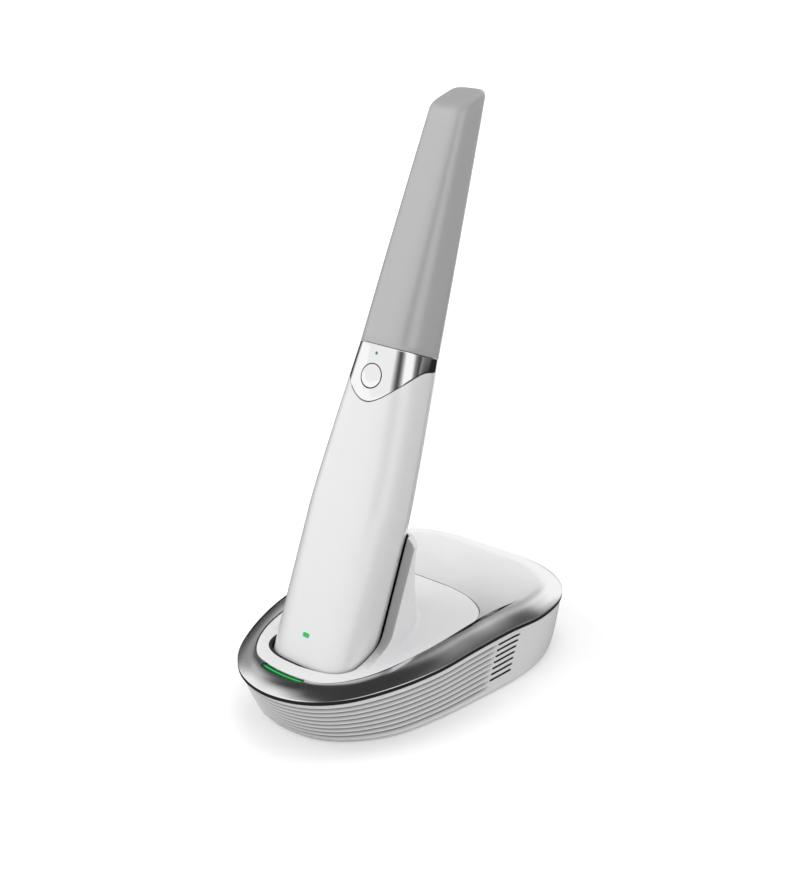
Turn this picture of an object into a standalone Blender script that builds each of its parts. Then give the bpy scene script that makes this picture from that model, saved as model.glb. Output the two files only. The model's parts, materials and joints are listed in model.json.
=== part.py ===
# Cordless intraoral scanner standing in its charging dock.
# The dock stands on the floor with its nose towards -Y. The wand leans back towards +Y.
import math

import bpy
import bmesh
from mathutils import Vector

MM = 0.001

# Clearances between neighbouring pieces
GAP = 0.3 * MM
SLEEVE_CLEARANCE = 0.4 * MM
POCKET_CLEARANCE = 0.9 * MM
BUTTON_CLEARANCE = 0.35 * MM

# Dock in plan
DOCK_LENGTH = 171.0 * MM
DOCK_WIDTH = 116.0 * MM
FRONT_RAKE = 13.0 * MM
BACK_RAKE = 6.0 * MM
INLAY_NOSE_MARGIN = 12.6 * MM
INLAY_TAIL_MARGIN = 53.0 * MM
INLAY_SIDE_MARGIN = 17.0 * MM

# Dock in height
FOOT_STAND = 0.8 * MM
COVER_EDGE_Z = 26.3 * MM
COVER_ROLL_HEIGHT = 3.7 * MM
COVER_ROLL_WIDTH = 8.0 * MM
COVER_ROLL_CURVE = 2.2
COVER_WALL = 1.8 * MM
SKIRT_HEIGHT = 1.8 * MM
SKIRT_WALL = 1.6 * MM

# Base housing, with its grooves and vents
BASE_WALL = 2.4 * MM
BASE_TUCK = 0.5 * MM
WALL_CURVE_NOSE = 0.9
WALL_CURVE_TAIL = 0.4
BASE_RIM_WIDTH = 2.0 * MM
BASE_RIM_RISE = 1.2 * MM
BASE_FOOT_ROUND = 0.7 * MM
GROOVE_COUNT = 8
GROOVE_PITCH = 2.5 * MM
GROOVE_DEPTH = 0.55 * MM
GROOVE_LIP = 0.9 * MM
GROOVE_FADE = 4.0 * MM
TOP_GROOVE_Z = 21.4 * MM
VENT_COUNT = 7
VENT_FRONT_Y = 14.0 * MM
VENT_LENGTH = 14.3 * MM
VENT_HEIGHT = 1.0 * MM
BASE_LIP = 3.0 * MM
SHELF_WIDTH = 6.0 * MM
SHELF_THICKNESS = 2.2 * MM
PLATE_THICKNESS = 2.4 * MM
SCREW_NOSE_MARGIN = 47.0 * MM
SCREW_TAIL_MARGIN = 55.6 * MM

# Inlay that the wand stands in
INLAY_THICKNESS = 2.0 * MM
FLANGE_WIDTH = 2.0 * MM
FLANGE_THICKNESS = 1.6 * MM
LIGHT_BAR_WIDTH = 23.6 * MM
LIGHT_BAR_DEPTH = 1.9 * MM
LIGHT_BAR_SINK = 0.7 * MM
WELL_WALL = 2.0 * MM
HOLSTER_RIM = 4.6 * MM
HOLSTER_RIM_DEPTH = 24.5 * MM
HOLSTER_TOP = 72.0 * MM
HOLSTER_CORNER = 10.0 * MM
HOLSTER_ROOT = 4.0 * MM
HOLSTER_FLARE = 2.4 * MM
HOLSTER_FLARE_HEIGHT = 2.6 * MM
HOLSTER_SWEEP = 16.0 * MM
HOLSTER_SWEEP_HEIGHT = 10.0 * MM
HOLSTER_SPARE = 3.0 * MM
HOLSTER_ROUNDNESS = 2.3
HOLSTER_ROUNDNESS_LOSS = 0.5

# Wand: distances run along its axis from its lower end, and back from its front face
LEAN = math.radians(23.4)
WAND_SETBACK = 19.4 * MM
WAND_SINK = 7.1 * MM
HOLSTER_BACK_LOW = 72.0 * MM
HOLSTER_BACK_HIGH = 64.0 * MM
GRIP_WIDTH = 44.4 * MM
GRIP_DEPTH = 32.6 * MM
SHOULDER = 75.0 * MM
NECK_CURVE = 1.25
BAND_TOP = 149.7 * MM
BAND_WIDTH = 31.2 * MM
BAND_DEPTH = 31.8 * MM
BAND_SIDE_HEIGHT = 8.0 * MM
TONGUE_DROP = 16.4 * MM
TONGUE_SPREAD = math.radians(111.6)
TONGUE_CURVE = 1.5
TIP_SHOULDER = 255.0 * MM
TIP_WIDTH = 19.8 * MM
TIP_DEPTH = 19.0 * MM
TIP_SETBACK = 3.7 * MM
TIP_SLANT = math.radians(39.0)
TIP_CROWN = 1.6 * MM
TIP_CROWN_DEPTH = 6.0 * MM
TIP_EDGE_ROUND = 2.0 * MM
EDGE_STEPS = 3
WAND_WALL = 1.8 * MM
GRIP_SQUARENESS = 3.0
TIP_SQUARENESS = 3.9
FOOT_ROUND = 5.0 * MM
SEAM_DEPTH = 24.0 * MM

# Tip sleeve and what it slides on
SLEEVE_WALL = 1.75 * MM
SLEEVE_END_WALL = 2.3 * MM
WINDOW_WIDTH = 12.0 * MM
WINDOW_LENGTH = 15.0 * MM
WINDOW_RISE = 2.0 * MM
WINDOW_CORNER = 2.0 * MM
MIRROR_THICKNESS = 1.2 * MM
MIRROR_WIDTH = 13.0 * MM
MIRROR_LENGTH = 12.0 * MM
MIRROR_SETBACK = 2.8 * MM
BARREL_DROP = 31.7 * MM
BARREL_LENGTH = 110.0 * MM
BARREL_WALL = 1.4 * MM
SEAL_RISE = 6.3 * MM
SEAL_HEIGHT = 1.6 * MM
SEAL_SINK = 0.7 * MM
GLASS_THICKNESS = 1.5 * MM
OPTICS_FRAME_RISE = 10.3 * MM
OPTICS_FRAME_LENGTH = 8.0 * MM
LENS_RADIUS = 4.0 * MM
LENS_SPACING = 9.6 * MM
LENS_LENGTH = 26.0 * MM
LENS_STEP = 1.0 * MM

# Button, lights and what is inside the handle
BUTTON_DROP = 13.7 * MM
BUTTON_RADIUS = 5.25 * MM
BUTTON_THICKNESS = 2.4 * MM
BUTTON_FLANGE = 1.0 * MM
BUTTON_FLANGE_THICKNESS = 0.7 * MM
BUTTON_EDGE = 0.3 * MM
BUTTON_PLAY = 0.6 * MM
BUTTON_ROOM = 1.0 * MM
BUTTON_TRAVEL = 0.5 * MM
SWITCH_SIZE = 5.0 * MM
SWITCH_HEIGHT = 1.6 * MM
STATUS_DROP = 3.7 * MM
STATUS_RADIUS = 0.7 * MM
LAMP_POSITION = 20.0 * MM
LAMP_WIDTH = 3.6 * MM
LAMP_HEIGHT = 1.9 * MM
LAMP_SINK = 0.05 * MM
BOARD_THICKNESS = 1.2 * MM
BOARD_WIDTH = 24.0 * MM
BOARD_START = 14.0 * MM
BOARD_END = 112.0 * MM
BATTERY_WIDTH = 30.0 * MM
BATTERY_THICKNESS = 11.0 * MM
BATTERY_START = 24.0 * MM
BATTERY_LENGTH = 66.0 * MM
BATTERY_CORNER = 1.5 * MM
BOSS_RADIUS = 2.6 * MM
SCREW_RADIUS = 1.1 * MM
SCREW_HEAD_RADIUS = 2.1 * MM
SCREW_HEAD_HEIGHT = 1.2 * MM
SCREW_BITE = 4.0 * MM
SCREW_SINK = 0.1 * MM

# Charging contacts and the dock's electronics
CONTACT_DEPTH = 11.0 * MM
CONTACT_SPACING = 10.0 * MM
CONTACT_RADIUS = 2.0 * MM
CONTACT_SINK = 0.1 * MM
PIN_RADIUS = 0.9 * MM
PIN_LENGTH = 6.0 * MM
PIN_POINT = 0.15 * MM
PIN_STOP = 1.0 * MM
PIN_BLOCK_WIDTH = 18.0 * MM
PIN_BLOCK_DEPTH = 7.0 * MM
PIN_BLOCK_HEIGHT = 5.5 * MM
RUBBER_RADIUS = 6.5 * MM
RUBBER_THICKNESS = 1.6 * MM
RUBBER_NOSE_MARGIN = 35.9 * MM
RUBBER_TAIL_MARGIN = 32.5 * MM
DOCK_BOARD_WIDTH = 56.0 * MM
DOCK_BOARD_FRONT_Y = 12.0 * MM
DOCK_BOARD_Z = 7.0 * MM
DOCK_BOARD_MARGIN = 12.0 * MM
BOARD_POST_MARGIN = 18.0 * MM
SOCKET_WIDTH = 9.0 * MM
SOCKET_LENGTH = 12.0 * MM
SOCKET_HEIGHT = 9.0 * MM
SOCKET_BORE = 2.8 * MM
SOCKET_BORE_DEPTH = 9.6 * MM
SOCKET_FLOOR = 1.2 * MM
SOCKET_PIN = 1.0 * MM
SOCKET_PIN_SINK = 2.4 * MM
PLUG_HOLE = 4.2 * MM

# Facets
SPAN_STEPS = 2
SECTION_STEPS = 28
ROUND_STEPS = 16
SCREW_STEPS = 10
PIN_STEPS = 12
BUTTON_STEPS = 32
HOLSTER_STEPS = 20
HOLSTER_LEVELS = 10

# Half outlines from nose to tail, as shares of the half width and of the length
COVER_SHAPE = (
    (0.0, 0.0), (0.302, 0.026), (0.543, 0.099), (0.716, 0.216), (0.828, 0.351), (0.879, 0.5),
    (0.931, 0.632), (1.0, 0.749), (0.957, 0.865), (0.784, 0.947), (0.474, 0.994), (0.0, 1.0),
)
FOOT_SHAPE = (
    (0.0, 0.0), (0.267, 0.016), (0.491, 0.069), (0.698, 0.168), (0.828, 0.306), (0.922, 0.474),
    (0.99, 0.632), (0.985, 0.757), (0.9, 0.858), (0.73, 0.932), (0.45, 0.984), (0.0, 1.0),
)
INLAY_SHAPE = (
    (0.0, 0.0), (0.28, 0.01), (0.488, 0.038), (0.68, 0.127), (0.82, 0.26), (0.895, 0.43),
    (0.95, 0.6), (1.0, 0.764), (0.9, 0.89), (0.63, 0.968), (0.33, 0.997), (0.0, 1.0),
)

# Levels and places that follow from the sizes above
TOP_Z = COVER_EDGE_Z + COVER_ROLL_HEIGHT
SKIRT_Z = COVER_EDGE_Z - SKIRT_HEIGHT
COVER_UNDER_Z = TOP_Z - COVER_WALL
NOSE_Y = -DOCK_LENGTH / 2
TAIL_Y = DOCK_LENGTH / 2
INLAY_NOSE_Y = NOSE_Y + INLAY_NOSE_MARGIN
INLAY_LENGTH = DOCK_LENGTH - INLAY_NOSE_MARGIN - INLAY_TAIL_MARGIN
INLAY_WIDTH = DOCK_WIDTH - 2 * INLAY_SIDE_MARGIN
WAND_FOOT_Y = NOSE_Y + WAND_SETBACK
WAND_FOOT_Z = TOP_Z - WAND_SINK
PLATE_TOP_Z = FOOT_STAND + PLATE_THICKNESS
SHELF_Z = PLATE_TOP_Z + GAP
FLANGE_TOP_Z = COVER_UNDER_Z - GAP
BARREL_INSET = SLEEVE_WALL + SLEEVE_CLEARANCE
BARREL_START = BAND_TOP - BARREL_DROP
BARREL_END = BARREL_START + BARREL_LENGTH
SEAL_POSITION = BAND_TOP + SEAL_RISE
OPTICS_FRAME_START = BAND_TOP + OPTICS_FRAME_RISE
WINDOW_END = TIP_SHOULDER + WINDOW_RISE
BUTTON_POSITION = BAND_TOP - BUTTON_DROP
STATUS_POSITION = BAND_TOP - STATUS_DROP
SWITCH_FRONT = WAND_WALL + BUTTON_PLAY + BUTTON_THICKNESS + BUTTON_TRAVEL + GAP
HOLSTER_HALF_WIDTH = GRIP_WIDTH / 2 + POCKET_CLEARANCE + HOLSTER_RIM


def clear_scene():
    for old in list(bpy.data.objects):
        bpy.data.objects.remove(old, do_unlink=True)


def finish(name, colour, roughness, metallic=0.0, glow=0.0):
    material = bpy.data.materials.new(name)
    material.use_nodes = True
    shader = material.node_tree.nodes["Principled BSDF"]
    shader.inputs["Base Color"].default_value = (*colour, 1.0)
    shader.inputs["Roughness"].default_value = roughness
    shader.inputs["Metallic"].default_value = metallic
    if glow:
        shader.inputs["Emission Color"].default_value = (*colour, 1.0)
        shader.inputs["Emission Strength"].default_value = glow
    return material


def add_object(name, mesh_builder, material=None, parent=None):
    """Turns a bmesh into a named object and frees it."""
    bmesh.ops.recalc_face_normals(mesh_builder, faces=mesh_builder.faces[:])
    mesh = bpy.data.meshes.new(name)
    mesh_builder.to_mesh(mesh)
    mesh_builder.free()
    mesh.shade_smooth()
    mesh.set_sharp_from_angle(angle=math.radians(35))
    thing = bpy.data.objects.new(name, mesh)
    bpy.context.scene.collection.objects.link(thing)
    if material:
        mesh.materials.append(material)
    thing.parent = parent
    return thing


def add_cutter(name, mesh_builder, parent=None):
    cutter = add_object(name, mesh_builder, parent=parent)
    cutter.hide_render = True
    cutter.display_type = "WIRE"
    return cutter


def combine(target, other, operation="DIFFERENCE"):
    modifier = target.modifiers.new(other.name, "BOOLEAN")
    modifier.operation = operation
    modifier.solver = "EXACT"
    modifier.object = other


def loft(rings, looped=False):
    """Skins closed rings of points one after the other. Open lofts get a cap at each end."""
    builder = bmesh.new()
    loops = [[builder.verts.new(point) for point in ring] for ring in rings]
    pairs = list(zip(loops, loops[1:]))
    if looped:
        pairs.append((loops[-1], loops[0]))
    for lower, upper in pairs:
        for i in range(len(lower)):
            builder.faces.new((lower[i - 1], lower[i], upper[i], upper[i - 1]))
    if not looped:
        builder.faces.new(loops[0])
        builder.faces.new(loops[-1])
    return builder


def prism(outline, low, high):
    """A flat outline extruded from one level to another."""
    builder = bmesh.new()
    face = builder.faces.new([builder.verts.new((x, y, low)) for x, y in outline])
    extruded = bmesh.ops.extrude_face_region(builder, geom=[face])
    raised = [item for item in extruded["geom"] if isinstance(item, bmesh.types.BMVert)]
    bmesh.ops.translate(builder, verts=raised, vec=(0, 0, high - low))
    return builder


def block(low, high):
    """A box between two corners."""
    (left, front, bottom), (right, back, top) = low, high
    outline = ((left, front), (right, front), (right, back), (left, back))
    return prism(outline, bottom, top)


def disc_points(radius, centre=(0.0, 0.0), steps=ROUND_STEPS):
    turns = [2 * math.pi * i / steps for i in range(steps)]
    return [(centre[0] + radius * math.cos(t), centre[1] + radius * math.sin(t)) for t in turns]


def rod_back(radius, centre, start, end, steps=ROUND_STEPS):
    """A round rod that runs back (+Y) through the wand. The centre is its X and its Z."""
    builder = prism(disc_points(radius, (centre[0], -centre[1]), steps), start, end)
    for vertex in builder.verts:
        x, y, z = vertex.co
        vertex.co = (x, z, -y)
    return builder


def merge(builders):
    """Several bodies as one bmesh, for pieces that come as a group."""
    whole = bmesh.new()
    for builder in builders:
        scratch = bpy.data.meshes.new("scratch")
        builder.to_mesh(scratch)
        builder.free()
        whole.from_mesh(scratch)
        bpy.data.meshes.remove(scratch)
    return whole


def spline_ring(shape, length, width, front_y):
    """A closed smooth outline through the points of a half shape and their mirror images."""
    half = [(share_x * width / 2, front_y + share_y * length) for share_x, share_y in shape]
    points = [Vector(p) for p in half + [(-x, y) for x, y in half[-2:0:-1]]]
    ring = []
    for i in range(len(points)):
        before, start, end, after = (points[(i + k) % len(points)] for k in (-1, 0, 1, 2))
        for step in range(SPAN_STEPS):
            t = step / SPAN_STEPS
            bend = (end - before) * t + (2 * before - 5 * start + 4 * end - after) * t * t
            twist = (3 * start - before - 3 * end + after) * t ** 3
            ring.append(start + (bend + twist) / 2)
    return ring


def inset(ring, distance):
    """The outline moved inwards by a distance, or outwards by a negative one."""
    moved = []
    for i, point in enumerate(ring):
        along = (ring[(i + 1) % len(ring)] - ring[i - 1]).normalized()
        moved.append(point + Vector((-along.y, along.x)) * distance)
    return moved


def at_height(ring, z):
    return [(point[0], point[1], z) for point in ring]


def half_width_at(ring, y):
    """Half width of an outline at a place along the dock."""
    side = [point for point in ring if point[0] >= 0]
    for start, end in zip(side, side[1:]):
        if start[1] <= y <= end[1]:
            share = (y - start[1]) / (end[1] - start[1])
            return start[0] + (end[0] - start[0]) * share
    return 0.0


COVER_RING = spline_ring(COVER_SHAPE, DOCK_LENGTH, DOCK_WIDTH, NOSE_Y)
FOOT_RING = spline_ring(
    FOOT_SHAPE, DOCK_LENGTH - FRONT_RAKE - BACK_RAKE, DOCK_WIDTH, NOSE_Y + FRONT_RAKE
)
INLAY_RING = spline_ring(INLAY_SHAPE, INLAY_LENGTH, INLAY_WIDTH, INLAY_NOSE_Y)


def wall_ring(z, depth=0.0):
    """Outline of the base housing's outer wall at a height, or that far inside the wall.

    The wall rakes out evenly at the nose, and stands fuller towards the tail.
    """
    rise = (z - FOOT_STAND) / (SKIRT_Z - FOOT_STAND)
    ring = []
    for low, high in zip(FOOT_RING, inset(COVER_RING, BASE_TUCK)):
        along = (high.y - NOSE_Y) / DOCK_LENGTH
        curve = WALL_CURVE_NOSE + (WALL_CURVE_TAIL - WALL_CURVE_NOSE) * along
        ring.append(low.lerp(high, rise ** curve))
    return inset(ring, depth) if depth else ring


def roll_level(distance):
    """Height of the cover's top at a distance in from its edge."""
    share = min(distance / COVER_ROLL_WIDTH, 1.0)
    return COVER_EDGE_Z + COVER_ROLL_HEIGHT * (1 - (1 - share) ** COVER_ROLL_CURVE)


# Dock housing

def make_top_cover(material):
    roll = [COVER_ROLL_WIDTH * share for share in (0.0, 0.1, 0.22, 0.38, 0.6, 1.0)]
    rings = [at_height(COVER_RING, SKIRT_Z)]
    rings += [at_height(inset(COVER_RING, d), roll_level(d)) for d in roll]
    rings.append(at_height(INLAY_RING, TOP_Z))
    rings.append(at_height(INLAY_RING, COVER_UNDER_Z))
    for d in (COVER_ROLL_WIDTH, COVER_ROLL_WIDTH * 0.75, COVER_ROLL_WIDTH * 0.5, SKIRT_WALL):
        rings.append(at_height(inset(COVER_RING, d), roll_level(d) - COVER_WALL))
    rings.append(at_height(inset(COVER_RING, SKIRT_WALL), SKIRT_Z))
    cover = add_object("top_cover", loft(rings, looped=True), material)
    notch = light_bar_outline(LIGHT_BAR_WIDTH / 2, -INLAY_THICKNESS, LIGHT_BAR_DEPTH)
    combine(cover, add_cutter("light_notch", prism(notch, COVER_UNDER_Z - GAP, TOP_Z + GAP)))
    return cover


def light_bar_outline(half_width, inner, outer):
    """A strip that follows the inlay's nose, between two distances outside its edge."""
    edge = [point for point in INLAY_RING if abs(point.x) < half_width and point.y < 0]
    edge.sort(key=lambda point: point.x)
    slope = (edge[-1].y - edge[-2].y) / (edge[-1].x - edge[-2].x)
    end_y = edge[-1].y + slope * (half_width - edge[-1].x)
    edge = [Vector((-half_width, end_y))] + edge + [Vector((half_width, end_y))]
    near = [(point.x, point.y - inner) for point in edge]
    far = [(point.x, point.y - outer) for point in reversed(edge)]
    return near + far


def make_light_bar(material):
    outline = light_bar_outline(LIGHT_BAR_WIDTH / 2 - GAP, GAP, LIGHT_BAR_DEPTH - GAP)
    return add_object(
        "light_bar", prism(outline, FLANGE_TOP_Z + GAP, TOP_Z - LIGHT_BAR_SINK), material
    )


def groove_depth(point):
    """Grooves run round the nose and the sides, and fade out where the vents begin."""
    fade = (VENT_FRONT_Y - point[1]) / GROOVE_FADE
    return GROOVE_DEPTH * min(max(fade, 0.0), 1.0)


def grooved_ring(z):
    ring = wall_ring(z)
    inner = inset(ring, 1.0)
    return [
        point + (deep - point) * groove_depth(point) for point, deep in zip(ring, inner)
    ]


def groove_levels():
    return [TOP_GROOVE_Z - i * GROOVE_PITCH for i in range(GROOVE_COUNT)]


def make_base_body(material):
    rim_z = COVER_EDGE_Z - COVER_WALL + BASE_RIM_RISE
    ledge_z = SKIRT_Z - GAP
    rim_out = SKIRT_WALL + GAP
    rings = [
        at_height(inset(COVER_RING, rim_out), rim_z),
        at_height(inset(COVER_RING, rim_out), ledge_z),
        at_height(wall_ring(ledge_z), ledge_z),
    ]
    for level in groove_levels():
        rings.append(at_height(wall_ring(level + GROOVE_LIP), level + GROOVE_LIP))
        rings.append(at_height(grooved_ring(level), level))
    foot_z = FOOT_STAND + BASE_FOOT_ROUND
    rings.append(at_height(wall_ring(foot_z), foot_z))
    rings.append(at_height(inset(FOOT_RING, BASE_FOOT_ROUND), FOOT_STAND))
    shelf_in = BASE_LIP + SHELF_WIDTH
    shelf_top = SHELF_Z + SHELF_THICKNESS
    rings.append(at_height(inset(FOOT_RING, BASE_LIP), FOOT_STAND))
    rings.append(at_height(inset(FOOT_RING, BASE_LIP), SHELF_Z))
    rings.append(at_height(inset(FOOT_RING, shelf_in), SHELF_Z))
    rings.append(at_height(inset(FOOT_RING, shelf_in), shelf_top))
    for share in (0.0, 0.5, 1.0):
        z = shelf_top + (ledge_z - shelf_top) * share
        rings.append(at_height(wall_ring(z, BASE_WALL), z))
    rings.append(at_height(inset(COVER_RING, rim_out + BASE_RIM_WIDTH), rim_z))
    base = add_object("base_body", loft(rings, looped=True), material)
    holes = base_screw_rods(SCREW_RADIUS + GAP, SHELF_Z - GAP)
    combine(base, add_cutter("base_screw_holes", holes))
    hole_start = inner_back_y(socket_axis_z() - PLUG_HOLE) - BASE_WALL
    hole = rod_back(PLUG_HOLE, (0.0, socket_axis_z()), hole_start, TAIL_Y + GAP)
    combine(base, add_cutter("plug_hole", hole))
    combine(base, add_cutter("vent_cutter", vent_cutters()))
    return base


def vent_cutters():
    slots = []
    outer = max(point.x for point in COVER_RING) + GAP
    for level in groove_levels()[:VENT_COUNT]:
        for side in (-1, 1):
            inner = side * (half_width_at(wall_ring(level), VENT_FRONT_Y) - BASE_WALL * 2)
            low_x, high_x = sorted((inner, side * outer))
            slots.append(block(
                (low_x, VENT_FRONT_Y, level - VENT_HEIGHT / 2),
                (high_x, VENT_FRONT_Y + VENT_LENGTH, level + VENT_HEIGHT / 2),
            ))
    return merge(slots)


def base_screw_places():
    middle = inset(FOOT_RING, BASE_LIP + SHELF_WIDTH / 2)
    return [
        (side * half_width_at(middle, y), y)
        for y in (NOSE_Y + SCREW_NOSE_MARGIN, TAIL_Y - SCREW_TAIL_MARGIN) for side in (-1, 1)
    ]


def base_screw_rods(radius, start, length=SHELF_THICKNESS + 4 * GAP):
    rods = [
        prism(disc_points(radius, spot, SCREW_STEPS), start, start + length)
        for spot in base_screw_places()
    ]
    return merge(rods)


def rubber_places():
    edge = inset(FOOT_RING, BASE_LIP + RUBBER_RADIUS * 2)
    return [
        (side * half_width_at(edge, y), y)
        for y in (NOSE_Y + RUBBER_NOSE_MARGIN, TAIL_Y - RUBBER_TAIL_MARGIN) for side in (-1, 1)
    ]


def make_bottom_plate(material):
    outline = inset(FOOT_RING, BASE_LIP + GAP)
    plate = add_object("bottom_plate", prism(outline, FOOT_STAND, PLATE_TOP_Z), material)
    sink = FOOT_STAND + SCREW_SINK + SCREW_HEAD_HEIGHT + GAP
    heads = merge([
        prism(disc_points(SCREW_HEAD_RADIUS + GAP, spot, SCREW_STEPS), 0.0, sink)
        for spot in base_screw_places()
    ])
    combine(plate, add_cutter("screw_sinks", heads))
    shanks = base_screw_rods(SCREW_RADIUS + GAP, 0.0, PLATE_TOP_Z + GAP)
    combine(plate, add_cutter("screw_clearances", shanks))
    recess = RUBBER_THICKNESS + GAP
    pads = merge([
        prism(disc_points(RUBBER_RADIUS + GAP, spot), 0.0, recess) for spot in rubber_places()
    ])
    combine(plate, add_cutter("rubber_recesses", pads))
    posts = merge([
        prism(disc_points(BOSS_RADIUS, spot, SCREW_STEPS), PLATE_TOP_Z - GAP, DOCK_BOARD_Z - GAP)
        for spot in board_post_places()
    ])
    combine(plate, add_cutter("board_posts", posts), "UNION")
    return plate


def make_rubber_feet(material):
    for number, spot in enumerate(rubber_places(), 1):
        pad = prism(disc_points(RUBBER_RADIUS, spot), 0.0, RUBBER_THICKNESS)
        add_object(f"rubber_foot_{number}", pad, material)


def screw(spot, start, reach):
    """A pan-head screw that points up from its head's face."""
    neck = start + SCREW_HEAD_HEIGHT
    profile = (
        (SCREW_HEAD_RADIUS, start), (SCREW_HEAD_RADIUS, neck),
        (SCREW_RADIUS, neck), (SCREW_RADIUS, reach),
    )
    rings = [at_height(disc_points(radius, spot, SCREW_STEPS), z) for radius, z in profile]
    return loft(rings)


def make_base_screws(material):
    start = FOOT_STAND + SCREW_SINK
    for number, spot in enumerate(base_screw_places(), 1):
        add_object(f"base_screw_{number}", screw(spot, start, SHELF_Z + SHELF_THICKNESS), material)


def socket_axis_z():
    return DOCK_BOARD_Z + BOARD_THICKNESS + GAP + SOCKET_HEIGHT / 2


def inner_back_y(z):
    return max(point.y for point in wall_ring(z, BASE_WALL))


def board_post_places():
    back = inner_back_y(DOCK_BOARD_Z) - BOARD_POST_MARGIN
    reach = DOCK_BOARD_WIDTH / 2 - 2 * BOSS_RADIUS
    return [
        (side * reach, y) for y in (DOCK_BOARD_FRONT_Y + 2 * BOSS_RADIUS, back) for side in (-1, 1)
    ]


def make_dock_board(material):
    back = inner_back_y(FOOT_STAND + BASE_LIP) - DOCK_BOARD_MARGIN
    half = DOCK_BOARD_WIDTH / 2
    top = DOCK_BOARD_Z + BOARD_THICKNESS
    board = block((-half, DOCK_BOARD_FRONT_Y, DOCK_BOARD_Z), (half, back, top))
    return add_object("dock_board", board, material)


def make_power_socket(material):
    low = DOCK_BOARD_Z + BOARD_THICKNESS + GAP
    back = inner_back_y(low) - GAP
    half = SOCKET_WIDTH / 2
    body = block((-half, back - SOCKET_LENGTH, low), (half, back, low + SOCKET_HEIGHT))
    socket = add_object("power_socket", body, material)
    axis = (0.0, socket_axis_z())
    floor = back - SOCKET_BORE_DEPTH
    combine(socket, add_cutter("socket_bore", rod_back(SOCKET_BORE, axis, floor, back + GAP)))
    pin = rod_back(SOCKET_PIN, axis, floor - SOCKET_FLOOR, back - SOCKET_PIN_SINK, PIN_STEPS)
    combine(socket, add_cutter("socket_pin", pin), "UNION")
    return socket


# Wand outlines, in the wand's own frame: X across, Y back from the front face, Z along the axis

def wand_size(along):
    """Half width, half depth and setback of the front face at a distance along the wand."""
    if along <= SHOULDER:
        return GRIP_WIDTH / 2, GRIP_DEPTH / 2, 0.0
    if along <= BAND_TOP:
        share = ((along - SHOULDER) / (BAND_TOP - SHOULDER)) ** NECK_CURVE
        half_width = (GRIP_WIDTH + (BAND_WIDTH - GRIP_WIDTH) * share) / 2
        return half_width, (GRIP_DEPTH + (BAND_DEPTH - GRIP_DEPTH) * share) / 2, 0.0
    share = (along - BAND_TOP) / (TIP_SHOULDER - BAND_TOP)
    half_width = (BAND_WIDTH + (TIP_WIDTH - BAND_WIDTH) * share) / 2
    return half_width, (BAND_DEPTH + (TIP_DEPTH - BAND_DEPTH) * share) / 2, TIP_SETBACK * share


def signed_power(value, power):
    return math.copysign(abs(value) ** power, value)


def squareness(along):
    """Exponent of the section's rounded shape, which gets squarer towards the tip."""
    share = min(max((along - BAND_TOP) / (TIP_SHOULDER - BAND_TOP), 0.0), 1.0)
    return GRIP_SQUARENESS + (TIP_SQUARENESS - GRIP_SQUARENESS) * share


def section_point(turn, along, depth=0.0):
    """A point of the wand's rounded section. Turn 0 is the front, and depth is inside the skin."""
    half_width, half_depth, setback = wand_size(along)
    power = 2 / squareness(along)
    x = (half_width - depth) * signed_power(math.sin(turn), power)
    y = (half_depth - depth) * signed_power(math.cos(turn), power)
    return (x, setback + half_depth - y, along)


def wand_turns():
    return [2 * math.pi * i / SECTION_STEPS for i in range(SECTION_STEPS)]


def wand_ring(along, depth=0.0):
    return [section_point(turn, along, depth) for turn in wand_turns()]


def band_edge(turn):
    """Where the band ends below: level at the sides and back, with a tongue at the front."""
    turn = min(turn, 2 * math.pi - turn)
    share = min(turn / TONGUE_SPREAD, 1.0)
    drop = TONGUE_DROP * (0.5 + 0.5 * math.cos(math.pi * share)) ** TONGUE_CURVE
    return BAND_TOP - BAND_SIDE_HEIGHT - drop


def edge_ring(depth, shift=0.0):
    return [section_point(turn, band_edge(turn) + shift, depth) for turn in wand_turns()]


def between_ring(depth, share):
    """A ring part of the way from the band's lower edge to its top."""
    ring = []
    for turn in wand_turns():
        low = band_edge(turn)
        ring.append(section_point(turn, low + (BAND_TOP - low) * share, depth))
    return ring


# Tip sleeve, mirror and nose

def end_ring(depth=0.0, drop=0.0):
    """A ring on the sleeve's slanted end, which rises from the front to the back."""
    ring = []
    for turn in wand_turns():
        back = section_point(turn, TIP_SHOULDER, depth)[1]
        x, y, _ = section_point(turn, end_level(back), depth)
        ring.append((x, y, end_level(y) - drop))
    return ring


def end_level(back):
    """Height of the slanted end at a depth. It eases over into a crown near the back."""
    rise = (back - TIP_SETBACK) * math.tan(TIP_SLANT)
    late = max(back - TIP_SETBACK - TIP_DEPTH + TIP_CROWN_DEPTH, 0.0) / TIP_CROWN_DEPTH
    return TIP_SHOULDER + rise - TIP_CROWN * late ** 2


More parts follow.
